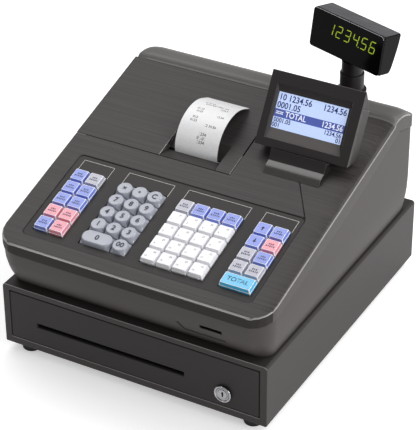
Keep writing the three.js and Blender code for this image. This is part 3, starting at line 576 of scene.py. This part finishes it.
def node_points(node):
    return [vertex.co.copy() for vertex in frame["nodes"][node].data.vertices]


def node_frame(node):
    """Axes of a box-shaped node, nearest to X, Y and Z, with its lowest corner as the origin."""
    normals = [polygon.normal.copy() for polygon in frame["nodes"][node].data.polygons]
    hints = [Vector((1, 0, 0)), Vector((0, 1, 0)), Vector((0, 0, 1))]
    axes = [max(normals, key=hint.dot) for hint in hints]
    corner = min(node_points(node), key=(axes[0] + axes[1] + axes[2]).dot)
    turn = Matrix(axes).transposed().to_4x4()
    return Matrix.Translation(corner) @ turn


def bounds_in(matrix, node):
    back = matrix.inverted()
    points = [back @ point for point in node_points(node)]
    low = Vector(min(point[axis] for point in points) for axis in range(3))
    high = Vector(max(point[axis] for point in points) for axis in range(3))
    return low, high


def rounded_ring(low, high, height, radius, steps):
    """A rounded rectangle at one height, with so many steps round each corner."""
    left, right = low[0] + radius, high[0] - radius
    front, rear = low[1] + radius, high[1] - radius
    ring = []
    for quarter, (x, y) in enumerate([(right, rear), (left, rear), (left, front), (right, front)]):
        for step in range(steps + 1):
            angle = math.radians(90 * quarter + 90 * step / steps)
            ring.append(Vector((x + radius * math.cos(angle), y + radius * math.sin(angle), height)))
    return ring


def skin(bm, loops):
    """Joins each ring of vertices to the next with quads, ring by ring."""
    faces = []
    for first, second in zip(loops, loops[1:]):
        for side in range(len(first)):
            after = (side + 1) % len(first)
            faces.append(bm.faces.new((first[side], first[after], second[after], second[side])))
    return faces


def loft(bm, rings, matrix, material=lambda level, side: 0, ends=(0, 0)):
    """Skins a stack of rings of one count; material picks an index for each level and side."""
    loops = [[bm.verts.new(matrix @ point) for point in ring] for ring in rings]
    for index, face in enumerate(skin(bm, loops)):
        face.material_index = material(*divmod(index, len(rings[0])))
    bottom = bm.faces.new(list(reversed(loops[0])))
    bottom.material_index = ends[0]
    top = bm.faces.new(loops[-1])
    top.material_index = ends[1]


def turned_out(matrix):
    """Axes of a display's frame with x to the right, y up its face and z out towards the reader."""
    right, back, up = (matrix.to_3x3().col[axis] for axis in range(3))
    return Matrix((right, up, -back)).transposed().to_4x4()


def add_slab(bm, corners, thickness, matrix):
    """A flat polygon in x and y of the frame, raised by its thickness."""
    low = [Vector((x, y, 0)) for x, y in corners]
    high = [Vector((x, y, thickness)) for x, y in corners]
    loft(bm, [low, high], matrix)


glyph_cache = {}


def glyph_mesh(text):
    """The outline of a text one unit high, middle at the origin, as a flat mesh."""
    if text not in glyph_cache:
        curve = bpy.data.curves.new("glyph", "FONT")
        curve.body = text
        curve.align_x = "CENTER"
        curve.align_y = "CENTER"
        curve.resolution_u = 3
        curve.offset = GLYPH_WEIGHT
        holder = bpy.data.objects.new("glyph", curve)
        bpy.context.scene.collection.objects.link(holder)
        bpy.context.view_layer.update()
        evaluated = holder.evaluated_get(bpy.context.evaluated_depsgraph_get())
        glyph_cache[text] = bpy.data.meshes.new_from_object(evaluated)
        bpy.data.objects.remove(holder)
        bpy.data.curves.remove(curve)
    return glyph_cache[text]


def add_text(bm, text, size, matrix, align=0.0, stretch=1.0):
    """Adds a flat text at the frame's origin; align -1 starts it there and 1 ends it there."""
    glyphs = glyph_mesh(text)
    half = max(vertex.co.x for vertex in glyphs.vertices)
    shift = -align * half
    made = []
    for vertex in glyphs.vertices:
        place = Vector(((vertex.co.x + shift) * size * stretch, vertex.co.y * size, 0))
        made.append(bm.verts.new(matrix @ place))
    for polygon in glyphs.polygons:
        bm.faces.new([made[index] for index in polygon.vertices])


def forget_glyphs():
    for mesh in glyph_cache.values():
        bpy.data.meshes.remove(mesh)
    glyph_cache.clear()


# ---- keyboard

SLOPE = node_frame("keyboard_board")  # x, distance up the slope, height off the board
PANEL_HIGH = bounds_in(SLOPE, "keyboard_panel")[1]


def on_slope(x, y, z):
    return SLOPE @ Matrix.Translation((x, y, z))


def square_cap(name, low, high, color, body, node):
    """A clear cap over a coloured insert: coloured faces inside bright moulded edges."""
    top = high.z
    plan = [  # height, and inset in mm
        (low.z, 0.4), (top - 4.9 * MM, 0.1), (top - 4.5 * MM, 0.1), (top - 4.2 * MM, 0.5),
        (top - 0.7 * MM, 1.25), (top - 0.2 * MM, 1.45), (top, 1.8), (top, 1.95), (top - CAP_DISH, 2.1),
    ]
    rings = []
    for height, inset in plan:
        inward = inset * MM
        corner_low = (low.x + inward, low.y + inward)
        corner_high = (high.x - inward, high.y - inward)
        rings.append(rounded_ring(corner_low, corner_high, height, CAP_CORNER, steps=CAP_STEPS))
    edge_levels = {1, 2, 5, 6, 7}

    def pick(level, side):
        corner = side % (CAP_STEPS + 1) < CAP_STEPS
        return 1 if corner or level in edge_levels else 0

    bm = bmesh.new()
    loft(bm, rings, SLOPE, pick, ends=(1, 0))
    add_piece(name, bm, [color, "key_edge"], body, [node], smooth=50, crisp=True)


def block_lines(bm, x, y, z, seed):
    """Two centred rows of small blocks, where a function key carries its name."""
    for line in range(2):
        count = 3 + (seed * 3 + line * 2) % 3
        middle = y + BLOCK["rise"] - BLOCK["line"] * line
        for block in range(count):
            place = x + (block - count / 2) * BLOCK["pitch"]
            left = place + BLOCK["left"]
            right = place + BLOCK["right"]
            half = BLOCK["half"] - BLOCK["shorter"] * ((seed + block) % 2)
            corners = [
                (left, middle - half), (right, middle - half), (right, middle + half), (left, middle + half),
            ]
            add_slab(bm, corners, LIFT, on_slope(0, 0, z))


def arrow(bm, x, y, z, direction):
    """A plain arrow up or down the slope."""
    head = [(x - ARROW["head"], y), (x + ARROW["head"], y), (x, y + direction * ARROW["tip"])]
    left, right = x - ARROW["stem"], x + ARROW["stem"]
    tail = y - direction * ARROW["tail"]
    stem = [(left, tail), (right, tail), (right, y), (left, y)]
    for corners in (head, stem):
        ordered = corners if direction > 0 else list(reversed(corners))
        add_slab(bm, ordered, LIFT, on_slope(0, 0, z))


def department_marks(bm, x, y, z, number):
    """The key's own number at the front, and that of its second level at the rear."""
    for mark, shown in ((SMALL_MARK, number), (LARGE_MARK, number + DEPARTMENT_COUNT)):
        add_text(bm, str(shown), mark["size"], on_slope(x + mark["x"], y + mark["y"], z))


def mark_square_key(bm, group, row, column, color, x, y, z):
    if color == "white":
        department_marks(bm, x, y, z, (row - 1) * 4 + column + 1)
    elif group == "right" and column == 0 and row < 2:
        arrow(bm, x, y, z, 1 - 2 * row)
    else:
        block_lines(bm, x, y, z, row * 5 + column * 3)


def key_centres(node, rows):
    low, high = bounds_in(SLOPE, node)
    half = KEY_SIZE / 2
    x = (low.x + high.x) / 2
    rear = high.y - half
    pitch = (high.y - low.y - KEY_SIZE) / (rows - 1)
    return [(x, rear - pitch * row) for row in range(rows)], low, high


def add_square_keys():
    for group, rows in SQUARE_COLORS.items():
        for column in range(len(rows[0].split())):
            node = f"{group}_key_column_{column + 1}"
            body = body_of_node(node)
            centres, low, high = key_centres(node, len(rows))
            marks = bmesh.new()
            for row, (x, y) in enumerate(centres):
                color = rows[row].split()[column]
                half = KEY_SIZE / 2
                cap_low = Vector((x - half, y - half, low.z + FOOT_RISE))
                cap_high = Vector((x + half, y + half, high.z))
                name = f"{group}_key_{row + 1}_{column + 1}"
                square_cap(name, cap_low, cap_high, f"key_{color}", body, node)
                mark_square_key(marks, group, row, column, color, x, y, high.z - CAP_DISH)
            add_piece(f"{group}_legends_{column + 1}", marks, ["legend_dark"], body)


def add_total_key():
    low, high = bounds_in(SLOPE, "key_total")
    body = body_of_node("key_total")
    square_cap("total_key", low, high, "key_cyan", body, "key_total")
    marks = bmesh.new()
    middle = (low + high) / 2
    add_text(marks, "TOTAL", TOTAL_SIZE, on_slope(middle.x, middle.y, high.z - CAP_DISH))
    add_piece("total_legend", marks, ["legend_dark"], body)


def domed_cap(bm, low, high):
    """A square foot that rises to a round, slightly dished crown."""
    top = high.z
    plan = [  # height, inset in mm, roundness of the corners
        (low.z, 0.2, 0.1), (top - 7.2 * MM, 0.0, 0.12), (top - 6.2 * MM, 0.05, 0.42),
        (top - 4.8 * MM, 0.15, 0.75), (top - 3.0 * MM, 0.3, 0.92), (top - 1.2 * MM, 0.6, 1.0),
        (top - 0.4 * MM, 0.9, 1.0), (top - 0.05 * MM, 1.4, 1.0), (top, 1.8, 1.0),
        (top - 0.15 * MM, 2.6, 1.0), (top - 0.35 * MM, 5.0, 1.0),
    ]
    rings = []
    for height, inset, roundness in plan:
        inward = inset * MM
        corner_low = (low.x + inward, low.y + inward)
        corner_high = (high.x - inward, high.y - inward)
        half = min(corner_high[0] - corner_low[0], corner_high[1] - corner_low[1]) / 2
        rings.append(rounded_ring(corner_low, corner_high, height, half * roundness * 0.98, steps=8))
    loft(bm, rings, SLOPE)


NUMERIC_LEGENDS = {f"key_{digit}": str(digit) for digit in range(10)}
NUMERIC_LEGENDS["key_00"] = "00"


def add_round_key(cap_name, legend_name, legend, low, high, node):
    body = body_of_node(node)
    cap = bmesh.new()
    domed_cap(cap, low, high)
    add_piece(cap_name, cap, ["key_grey"], body, [node], smooth=60)
    marks = bmesh.new()
    add_text(marks, legend, LEGEND_SIZE, on_slope(*((low + high) / 2).xy, high.z + LIFT))
    add_piece(legend_name, marks, ["legend_dark"], body)


def add_numeric_keys():
    for node, legend in NUMERIC_LEGENDS.items():
        low, high = bounds_in(SLOPE, node)
        add_round_key(f"{node}_cap", f"{node}_legend", legend, low, high, node)


def add_function_keys():
    node = "numeric_function_keys"
    low, high = bounds_in(SLOPE, node)
    pitch = (high.x - low.x - KEY_SIZE) / 2
    for column, legend in enumerate(["×", "•", "C"]):
        left = low.x + column * pitch
        cap_low = Vector((left, high.y - KEY_SIZE, low.z + FOOT_RISE))
        cap_high = Vector((left + KEY_SIZE, high.y, high.z))
        names = f"function_key_{column + 1}", f"function_legend_{column + 1}"
        add_round_key(*names, legend, cap_low, cap_high, node)


def add_line(bm, x0, y0, x1, y1):
    half = LINE_WIDTH / 2
    corners = [
        (min(x0, x1) - half, min(y0, y1) - half), (max(x0, x1) + half, min(y0, y1) - half),
        (max(x0, x1) + half, max(y0, y1) + half), (min(x0, x1) - half, max(y0, y1) + half),
    ]
    add_slab(bm, corners, LIFT, on_slope(0, 0, PANEL_HIGH.z + LIFT))


def group_edges(nodes):
    boxes = [bounds_in(SLOPE, node) for node in nodes]
    left = min(low.x for low, high in boxes)
    right = max(high.x for low, high in boxes)
    rear = max(high.y for low, high in boxes)
    return left - LINE_MARGIN, right + LINE_MARGIN, rear


def add_legend_frames():
    """Thin printed lines that head each group of keys."""
    bm = bmesh.new()
    rear = PANEL_HIGH.y - PANEL_FLANGE - LINE_TOP
    groups = [
        ["left_key_column_1", "left_key_column_2"],
        ["numeric_function_keys"],
        [f"department_key_column_{column}" for column in range(1, 5)],
        ["right_key_column_1", "right_key_column_2"],
    ]
    for nodes in groups:
        left, right, top = group_edges(nodes)
        add_line(bm, left, rear, right, rear)
        add_line(bm, left, top, left, rear)
        add_line(bm, right, top, right, rear)
    add_piece("legend_frames", bm, ["legend_light"], "register_base")


# ---- operator display

SCREEN = node_frame("lcd_module")  # x, depth behind the face, height up it


def screen_place(x, depth, height):
    """A point given from the display front's own lower left corner."""
    low = bounds_in(SCREEN, "display_front")[0]
    return SCREEN @ Vector((low.x + x, low.y + depth, low.z - SCREEN_DROP + height))


def box_corners(low, high):
    return [(low.x, low.z), (high.x, low.z), (high.x, high.z), (low.x, high.z)]


def add_bezel():
    """The slanted surround between the window's edge and the LCD."""
    outer = box_corners(WINDOW_LOW, WINDOW_HIGH)
    inner = box_corners(GLASS_LOW, GLASS_HIGH)
    inner_depth = GLASS_DEPTH - BEZEL["clear"]
    rear = inner_depth + BEZEL["thick"]
    bm = bmesh.new()
    rings = [
        [bm.verts.new(screen_place(x, depth, z)) for x, z in corners]
        for corners, depth in ((outer, BEZEL["outer"]), (inner, inner_depth), (inner, rear), (outer, rear))
    ]
    for index, face in enumerate(skin(bm, rings + rings[:1])):
        # The lower side is painted lighter: a painted highlight.
        face.material_index = 1 if index % len(outer) == 0 else 0  # the lower side catches the light
    materials = ["display_plastic", "bezel_highlight"]
    add_piece("lcd_bezel", bm, materials, "operator_display", smooth=20)


def lcd_matrix(x, height, depth):
    """A frame on the LCD's face."""
    return Matrix.Translation(screen_place(x, depth, height)) @ turned_out(SCREEN)


def add_lcd():
    refine("lcd_module", 0, "lcd")
    width = GLASS_HIGH.x - GLASS_LOW.x
    height = GLASS_HIGH.z - GLASS_LOW.z
    ink, band, white = bmesh.new(), bmesh.new(), bmesh.new()
    band_low = GLASS_LOW.z + LCD_BAND[0] * height
    band_high = GLASS_LOW.z + LCD_BAND[1] * height
    corners = [(0, 0), (width, 0), (width, band_high - band_low), (0, band_high - band_low)]
    add_slab(band, corners, LIFT, lcd_matrix(GLASS_LOW.x, band_low, GLASS_DEPTH - LIFT))
    for share, size, left, right in LCD_ROWS:
        target = white if LCD_BAND[0] < share < LCD_BAND[1] else ink
        depth = GLASS_DEPTH - (4 if target is white else 1) * LIFT
        middle = GLASS_LOW.z + share * height
        ends = (left, GLASS_LOW.x + LCD_MARGIN, -1), (right, GLASS_HIGH.x - LCD_MARGIN, 1)
        for text, x, align in ends:
            if text:
                add_text(target, text, size * MM, lcd_matrix(x, middle, depth), align, LCD_STRETCH)
    add_piece("lcd_text", ink, ["lcd_ink"], "operator_display")
    add_piece("lcd_band", band, ["lcd_band"], "operator_display")
    add_piece("lcd_band_text", white, ["lcd_white"], "operator_display")


# ---- customer display

HEAD = node_frame("digit_module")


def add_segment(bm, start, end, matrix):
    """A stroke with pointed ends."""
    along = (end - start).normalized()
    across = Vector((-along.y, along.x)) * DIGIT["stroke"] / 2
    first = start + along * DIGIT["gap"]
    last = end - along * DIGIT["gap"]
    shoulder = along * DIGIT["stroke"] / 2
    outline = [
        first, first + shoulder - across, last - shoulder - across, last,
        last - shoulder + across, first + shoulder + across,
    ]
    slanted = [(point.x + DIGIT["slant"] * point.y, point.y) for point in outline]
    add_slab(bm, slanted, LIFT, matrix)


def head_profile(low, high):
    """The housing's side view in y and z: a flat front, and a back that bulges and narrows downwards."""
    face_y = bounds_in(HEAD, "customer_window")[0].y
    height = high.z - low.z
    rear = []
    for step in range(HEAD_STEPS + 1):
        share = step / HEAD_STEPS
        depth = HEAD_TAPER[0] + HEAD_TAPER[1] * share + HEAD_TAPER[2] * share ** 2
        rear.append((face_y + depth * MM, low.z + height * share))
    foot, crown = rear[0][0], rear[-1][0]
    lower = [(low.y, low.z), (foot - HEAD_ROUND, low.z), (foot, low.z + HEAD_ROUND)]
    upper = [(crown, high.z - HEAD_ROUND), (crown - HEAD_ROUND, high.z), (low.y, high.z)]
    return lower + rear[1:-1] + upper


def inset_ring(profile, x, inset, front, middle):
    """The profile at one x, drawn in towards its middle, with its front edge left in place."""
    ring = []
    for y, z in profile:
        towards = middle - Vector((y, z))
        shift = Vector((0 if y <= front + WELD else towards.x, towards.y))
        if shift.length:
            shift = shift.normalized() * inset * MM
        ring.append(Vector((x, y + shift.x, z + shift.y)))
    return ring


def add_customer_housing():
    low, high = bounds_in(HEAD, "customer_housing")
    profile = head_profile(low, high)
    middle = Vector(((low.y + high.y) / 2, (low.z + high.z) / 2))
    stations = [(low.x + distance * MM, inset) for distance, inset in HEAD_LEFT]
    stations += [(high.x - distance * MM, inset) for distance, inset in HEAD_RIGHT]
    bm = bmesh.new()
    loft(bm, [inset_ring(profile, x, inset, low.y, middle) for x, inset in stations], HEAD)
    bm.normal_update()
    for face in bm.faces:
        # Faces that look up get the lighter colour: a painted sheen.
        face.material_index = 1 if face.normal.z > HEAD_TOP_NORMAL else 0
    add_piece("customer_back", bm, ["head_plastic", "head_top_sheen"], "customer_display",
              ["customer_housing"], smooth=40, crisp=True)


def add_point(bm, matrix):
    """The decimal point, half a pitch to the left of the digit that follows it."""
    side = DIGIT["stroke"] * DIGIT["point"]
    base = -DIGIT["height"] / 2
    offset = -DIGIT["pitch"] / 2 + DIGIT["slant"] * base
    left, right = offset - side, offset + side
    corners = [(left, base - side), (right, base - side), (right, base + side), (left, base + side)]
    add_slab(bm, corners, LIFT, matrix)


def add_customer_digits():
    low, high = bounds_in(HEAD, "customer_window")
    middle_x = (low.x + high.x) / 2
    middle_z = (low.z + high.z) / 2
    bm = bmesh.new()
    x = FIRST_DIGIT
    for character in SHOWN_PRICE:
        place = HEAD @ Vector((middle_x + x, low.y - LIFT, middle_z + DIGIT["rise"]))
        matrix = Matrix.Translation(place) @ turned_out(HEAD)
        if character == ".":
            add_point(bm, matrix)
            continue
        for letter in SEGMENTS[character]:
            start, end = (
                Vector((share_x * DIGIT["width"] / 2, share_y * DIGIT["height"] / 2))
                for share_x, share_y in SEGMENT_ENDS[letter]
            )
            add_segment(bm, start, end, matrix)
        x += DIGIT["pitch"]
    add_piece("customer_digits", bm, ["digit_glow"], "customer_display")


# ---- receipt


def paper_spine():
    """The middle line of the CAD sheet, as points in y and z from the slot to its end."""
    points = node_points("receipt_paper")
    edge = min(point.x for point in points)
    outline = {(round(p.y, 6), round(p.z, 6)) for p in points if abs(p.x - edge) < PAPER_EDGE}
    low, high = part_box("receipt_paper")
    centre = Vector(((low.y + high.y) / 2, low.z - TURN_CENTRE_DROP))

    def turn(point):
        return -math.atan2(point[1] - centre.y, point[0] - centre.x)

    ordered = sorted(outline, key=turn)
    return [
        (Vector(first) + Vector(second)) / 2
        for first, second in zip(ordered[0::2], ordered[1::2])
    ]


def smooth_line(points, count):
    """Evenly spaced points of a Catmull-Rom curve through the given ones."""
    fine = []
    padded = [2 * points[0] - points[1], *points, 2 * points[-1] - points[-2]]
    for before, start, end, after in zip(padded, padded[1:], padded[2:], padded[3:]):
        for step in range(CURVE_STEPS):
            t = step / CURVE_STEPS
            fine.append(0.5 * (
                2 * start + (end - before) * t + (2 * before - 5 * start + 4 * end - after) * t ** 2
                + (3 * start - before - 3 * end + after) * t ** 3
            ))
    fine.append(points[-1])
    travelled = [0.0]
    for first, second in zip(fine, fine[1:]):
        travelled.append(travelled[-1] + (second - first).length)
    spaced = []
    index = 0
    for step in range(count + 1):
        target = travelled[-1] * step / count
        while index < len(fine) - 2 and travelled[index + 1] < target:
            index += 1
        share = (target - travelled[index]) / max(travelled[index + 1] - travelled[index], 1e-9)
        spaced.append(fine[index].lerp(fine[index + 1], min(share, 1.0)))
    return spaced, travelled[-1]


def add_receipt():
    low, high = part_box("receipt_paper")
    spine, length = smooth_line(paper_spine(), PAPER_STEPS)
    normals = []
    for index in range(len(spine)):
        along = spine[min(index + 1, len(spine) - 1)] - spine[max(index - 1, 0)]
        normals.append(Vector((-along.y, along.x)).normalized())
    bm = bmesh.new()
    rings = []
    for point, normal in zip(spine, normals):
        ring = []
        for x, side in ((low.x, -1), (high.x, -1), (high.x, 1), (low.x, 1)):
            place = point + normal * side * PAPER_THICK / 2
            ring.append(bm.verts.new((x, place.x, place.y)))
        rings.append(ring)
    skin(bm, rings)
    bm.faces.new(rings[0])
    bm.faces.new(list(reversed(rings[-1])))
    add_piece("receipt", bm, ["paper"], "cover", ["receipt_paper"], smooth=60)
    add_receipt_print(spine, normals, length, (low.x + high.x) / 2)


def add_receipt_print(spine, normals, length, middle):
    """Faint lines of figures that follow the paper's curve."""
    marks = bmesh.new()
    for distance, size, offset, text in RECEIPT_LINES:
        start = len(marks.verts)
        add_text(marks, text, size * MM, Matrix.Translation((middle + offset * MM, distance * MM, 0)))
        marks.verts.ensure_lookup_table()
        for vertex in list(marks.verts)[start:]:
            place = min(max(vertex.co.y / length, 0), 1) * PAPER_STEPS
            index = min(int(place), PAPER_STEPS - 1)
            share = place - index
            point = spine[index].lerp(spine[index + 1], share)
            normal = normals[index].lerp(normals[index + 1], share)
            on_face = point + normal * (PAPER_THICK / 2 + LIFT)
            vertex.co = Vector((vertex.co.x, on_face.x, on_face.y))
    add_piece("receipt_print", marks, ["paper_ink"], "cover")


# ---- small mouldings


def add_tear_bar():
    """A saw-toothed strip along the front edge of the paper's slot."""
    low, high = bounds_in(SLOPE, "printer_cover")
    slot_y = low.y + TEAR_BAR["y"]
    base_z = high.z - TEAR_BAR["depth"]
    left = low.x + TEAR_BAR["left"]
    right = low.x + TEAR_BAR["right"]
    count = round((right - left) / TEAR_BAR["tooth"])
    foot_z = base_z - TEAR_BAR["base"]
    outline = [(left, foot_z), (right, foot_z)]
    pitch = (right - left) / count
    for tooth in range(count, 0, -1):
        outline.append((left + tooth * pitch, base_z))
        outline.append((left + (tooth - 0.5) * pitch, base_z + TEAR_BAR["height"]))
    outline.append((left, base_z))
    bm = bmesh.new()
    rings = [
        [Vector((x, slot_y + side * TEAR_BAR["thick"] / 2, z)) for x, z in outline]
        for side in (1, -1)
    ]
    loft(bm, rings, SLOPE)
    add_piece("tear_bar", bm, ["steel_dark"], "cover", smooth=20)


def lathe(bm, profile, centre):
    """A closed ring around the lock's axis, from radius and distance out."""
    loops = []
    for step in range(LATHE_STEPS):
        angle = 2 * math.pi * step / LATHE_STEPS
        loops.append([
            bm.verts.new(centre + Vector((r * math.cos(angle), -out, r * math.sin(angle))) * MM)
            for r, out in profile
        ])
    skin(bm, loops + loops[:1])


def add_lock_trim():
    low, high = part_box("lock_bezel")
    centre = Vector(((low.x + high.x) / 2, low.y, (low.z + high.z) / 2))
    ring = bmesh.new()
    lathe(ring, LOCK_RING, centre)
    add_piece("lock_ring", ring, ["chrome"], "drawer", smooth=60)
    # The cone between the ring and the plug is dark steel: painted shade in the gap round the plug.
    cone = bmesh.new()
    lathe(cone, LOCK_CONE, centre)
    add_piece("lock_cone_shade", cone, ["steel_dark"], "drawer", smooth=30)
    add_keyhole(centre)


def add_keyhole(centre):
    """A flat dark mark on the plug's face, painted shade where the keyhole is: a round hole over a slot that
    widens downwards.
    """
    plug_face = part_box("lock_barrel")[0].y
    turn = Matrix(((1, 0, 0), (0, 0, -1), (0, 1, 0))).to_4x4()
    place = Matrix.Translation((centre.x, plug_face - LIFT, centre.z)) @ turn
    hole = bmesh.new()
    radius, rise, foot = KEYHOLE["radius"], KEYHOLE["rise"], KEYHOLE["foot"]
    wide, narrow = KEYHOLE["wide"], KEYHOLE["narrow"]
    angles = [2 * math.pi * step / KEYHOLE_STEPS for step in range(KEYHOLE_STEPS)]
    round_part = [(radius * math.cos(angle), rise + radius * math.sin(angle)) for angle in angles]
    slot = [(-wide, foot), (wide, foot), (narrow, rise), (-narrow, rise)]
    for outline in (round_part, slot):
        add_slab(hole, [(x * MM, z * MM) for x, z in outline], LIFT, place)
    add_piece("keyhole_shade", hole, ["rubber"], "lock_plug")


def front_tree():
    bm = bmesh.new()
    bm.from_mesh(frame["nodes"]["lower_housing"].data)
    tree = BVHTree.FromBMesh(bm)
    bm.free()
    return tree


def on_front(tree, x, z):
    """Where the lower housing's front lies at this x and z."""
    start = Vector((x, cad_low.y - RAY_START, z))
    place, normal = tree.ray_cast(start, Vector((0, 1, 0)))[:2]
    return place + normal * RECESS["proud"]


def add_card_recess():
    """A dark strip along the edge of the recess below the card slot: painted shade of its step."""
    tree = front_tree()
    bm = bmesh.new()
    for (x0, z0), (x1, z1) in zip(CARD_LINE, CARD_LINE[1:]):
        along = Vector((x1 - x0, z1 - z0)).normalized()
        across = Vector((-along.y, along.x)) * RECESS["width"] / 2
        rings = []
        for step in range(RECESS_STEPS + 1):
            share = step / RECESS_STEPS
            middle = Vector((x0 + (x1 - x0) * share, z0 + (z1 - z0) * share)) * MM
            ring = []
            for side in (-1, 1):
                place = on_front(tree, middle.x + side * across.x, middle.y + side * across.y)
                ring.append(place)
                ring.append(place + Vector((0, RECESS["thick"], 0)))
            rings.append([ring[0], ring[2], ring[3], ring[1]])
        loft(bm, rings, Matrix.Identity(4))
    add_piece("card_recess_shade", bm, ["rubber"], "register_base", smooth=30)


# ---- the other pieces

# Tints on the top cover, printer cover and stand are painted light and shade: the front rim's painted
# highlight, the skirt's painted shade, the ridge's painted reflection, the pocket's painted shade and the
# stand upright's painted shade; the display front's back-facing roof gets black plastic.
TINTS = {  # faces of another material, and which they are
    "top_cover": [
        ("front_edge_highlight", is_front_rim), ("skirt_shade", is_front_skirt), ("ridge_highlight", is_ridge),
    ],
    "printer_cover": [("pocket_shade", is_pocket)],
    "display_front": [("black_plastic", is_display_roof)],
    "display_stand": [("display_plastic", is_upright)],
}
# The lighter edge materials are painted highlights; the drawer face's dark one is painted shade.
EDGES = {  # material of the rounded edges, and which of them have it
    "top_cover": ("top_edge_highlight", is_outer_rim), "printer_cover": ("top_edge_highlight", is_right_rim),
    "cabinet_shell": ("cabinet_edge_highlight", faces_up), "display_front": ("display_edge_highlight", faces_up),
    "display_rear": ("display_edge_highlight", faces_up), "display_stand": ("display_edge_highlight", faces_up),
    # The drawer face's rounded edge is dark rubber: painted shade in the gap round the face.
    "customer_window": ("gloss_edge_highlight", faces_up), "drawer_face": ("rubber", is_any),
}
# The stand's lit plastic and the display rear's lighter copy are painted light.
BASES = {  # nodes whose look isn't that of their material slot
    "keyboard_panel": "panel_plastic", "display_stand": "stand_lit_plastic",
    "display_front": "display_plastic", "display_rear": "display_side_lit",
}
BEVELS = {  # edge rounding in mm
    "cabinet_shell": 0.5, "drawer_face": 1.2, "drawer_tray": 0.3, "till_insert": 0.6,
    "lower_housing": 0.5, "top_cover": 1.2, "keyboard_panel": 0.3, "printer_cover": 0.35,
    "display_stand": 0.3, "display_front": 0.6, "display_rear": 0.7, "customer_window": 0.5,
    "pole_sleeve": 0.5, "customer_pole": 0.3, "lock_bezel": 0.4, "lock_barrel": 0.2,
    "drawer_latch": 0.2, "runner_left": 0.3, "runner_right": 0.3, "printer_frame": 0.4,
    "platen_roller": 0.3, "paper_roll": 0.3, "display_hinge_pin": 0.2, "keyboard_board": 0.2,
    "main_board": 0.2, "power_supply": 0.8, "cord_gland": 0.5, "digit_module": 0.2,
}
BEVELS.update({f"foot_{end}_{side}": 0.3 for end in ("front", "rear") for side in ("left", "right")})
BEVELS.update({f"bill_clip_{bay}": 0.3 for bay in range(1, 5)})


def add_refined_pieces():
    for node, bevel in BEVELS.items():
        refine(node, bevel, BASES.get(node))


def add_floor():
    bm = bmesh.new()
    bmesh.ops.create_grid(bm, x_segments=4, y_segments=4, size=FLOOR_SIZE)
    mesh = bpy.data.meshes.new("floor")
    bm.to_mesh(mesh)
    bm.free()
    principled = MATERIALS["floor"].node_tree.nodes["Principled BSDF"]
    principled.inputs["Emission Color"].default_value = (1, 1, 1, 1)
    principled.inputs["Emission Strength"].default_value = FLOOR_GLOW
    mesh.materials.append(MATERIALS["floor"])
    floor = bpy.data.objects.new("floor", mesh)
    bpy.context.scene.collection.objects.link(floor)


add_camera()
add_studio()
add_floor()
add_refined_pieces()
add_square_keys()
add_total_key()
add_numeric_keys()
add_function_keys()
add_legend_frames()
add_bezel()
add_lcd()
add_customer_housing()
add_customer_digits()
add_receipt()
add_tear_bar()
add_card_recess()
add_lock_trim()
forget_glyphs()
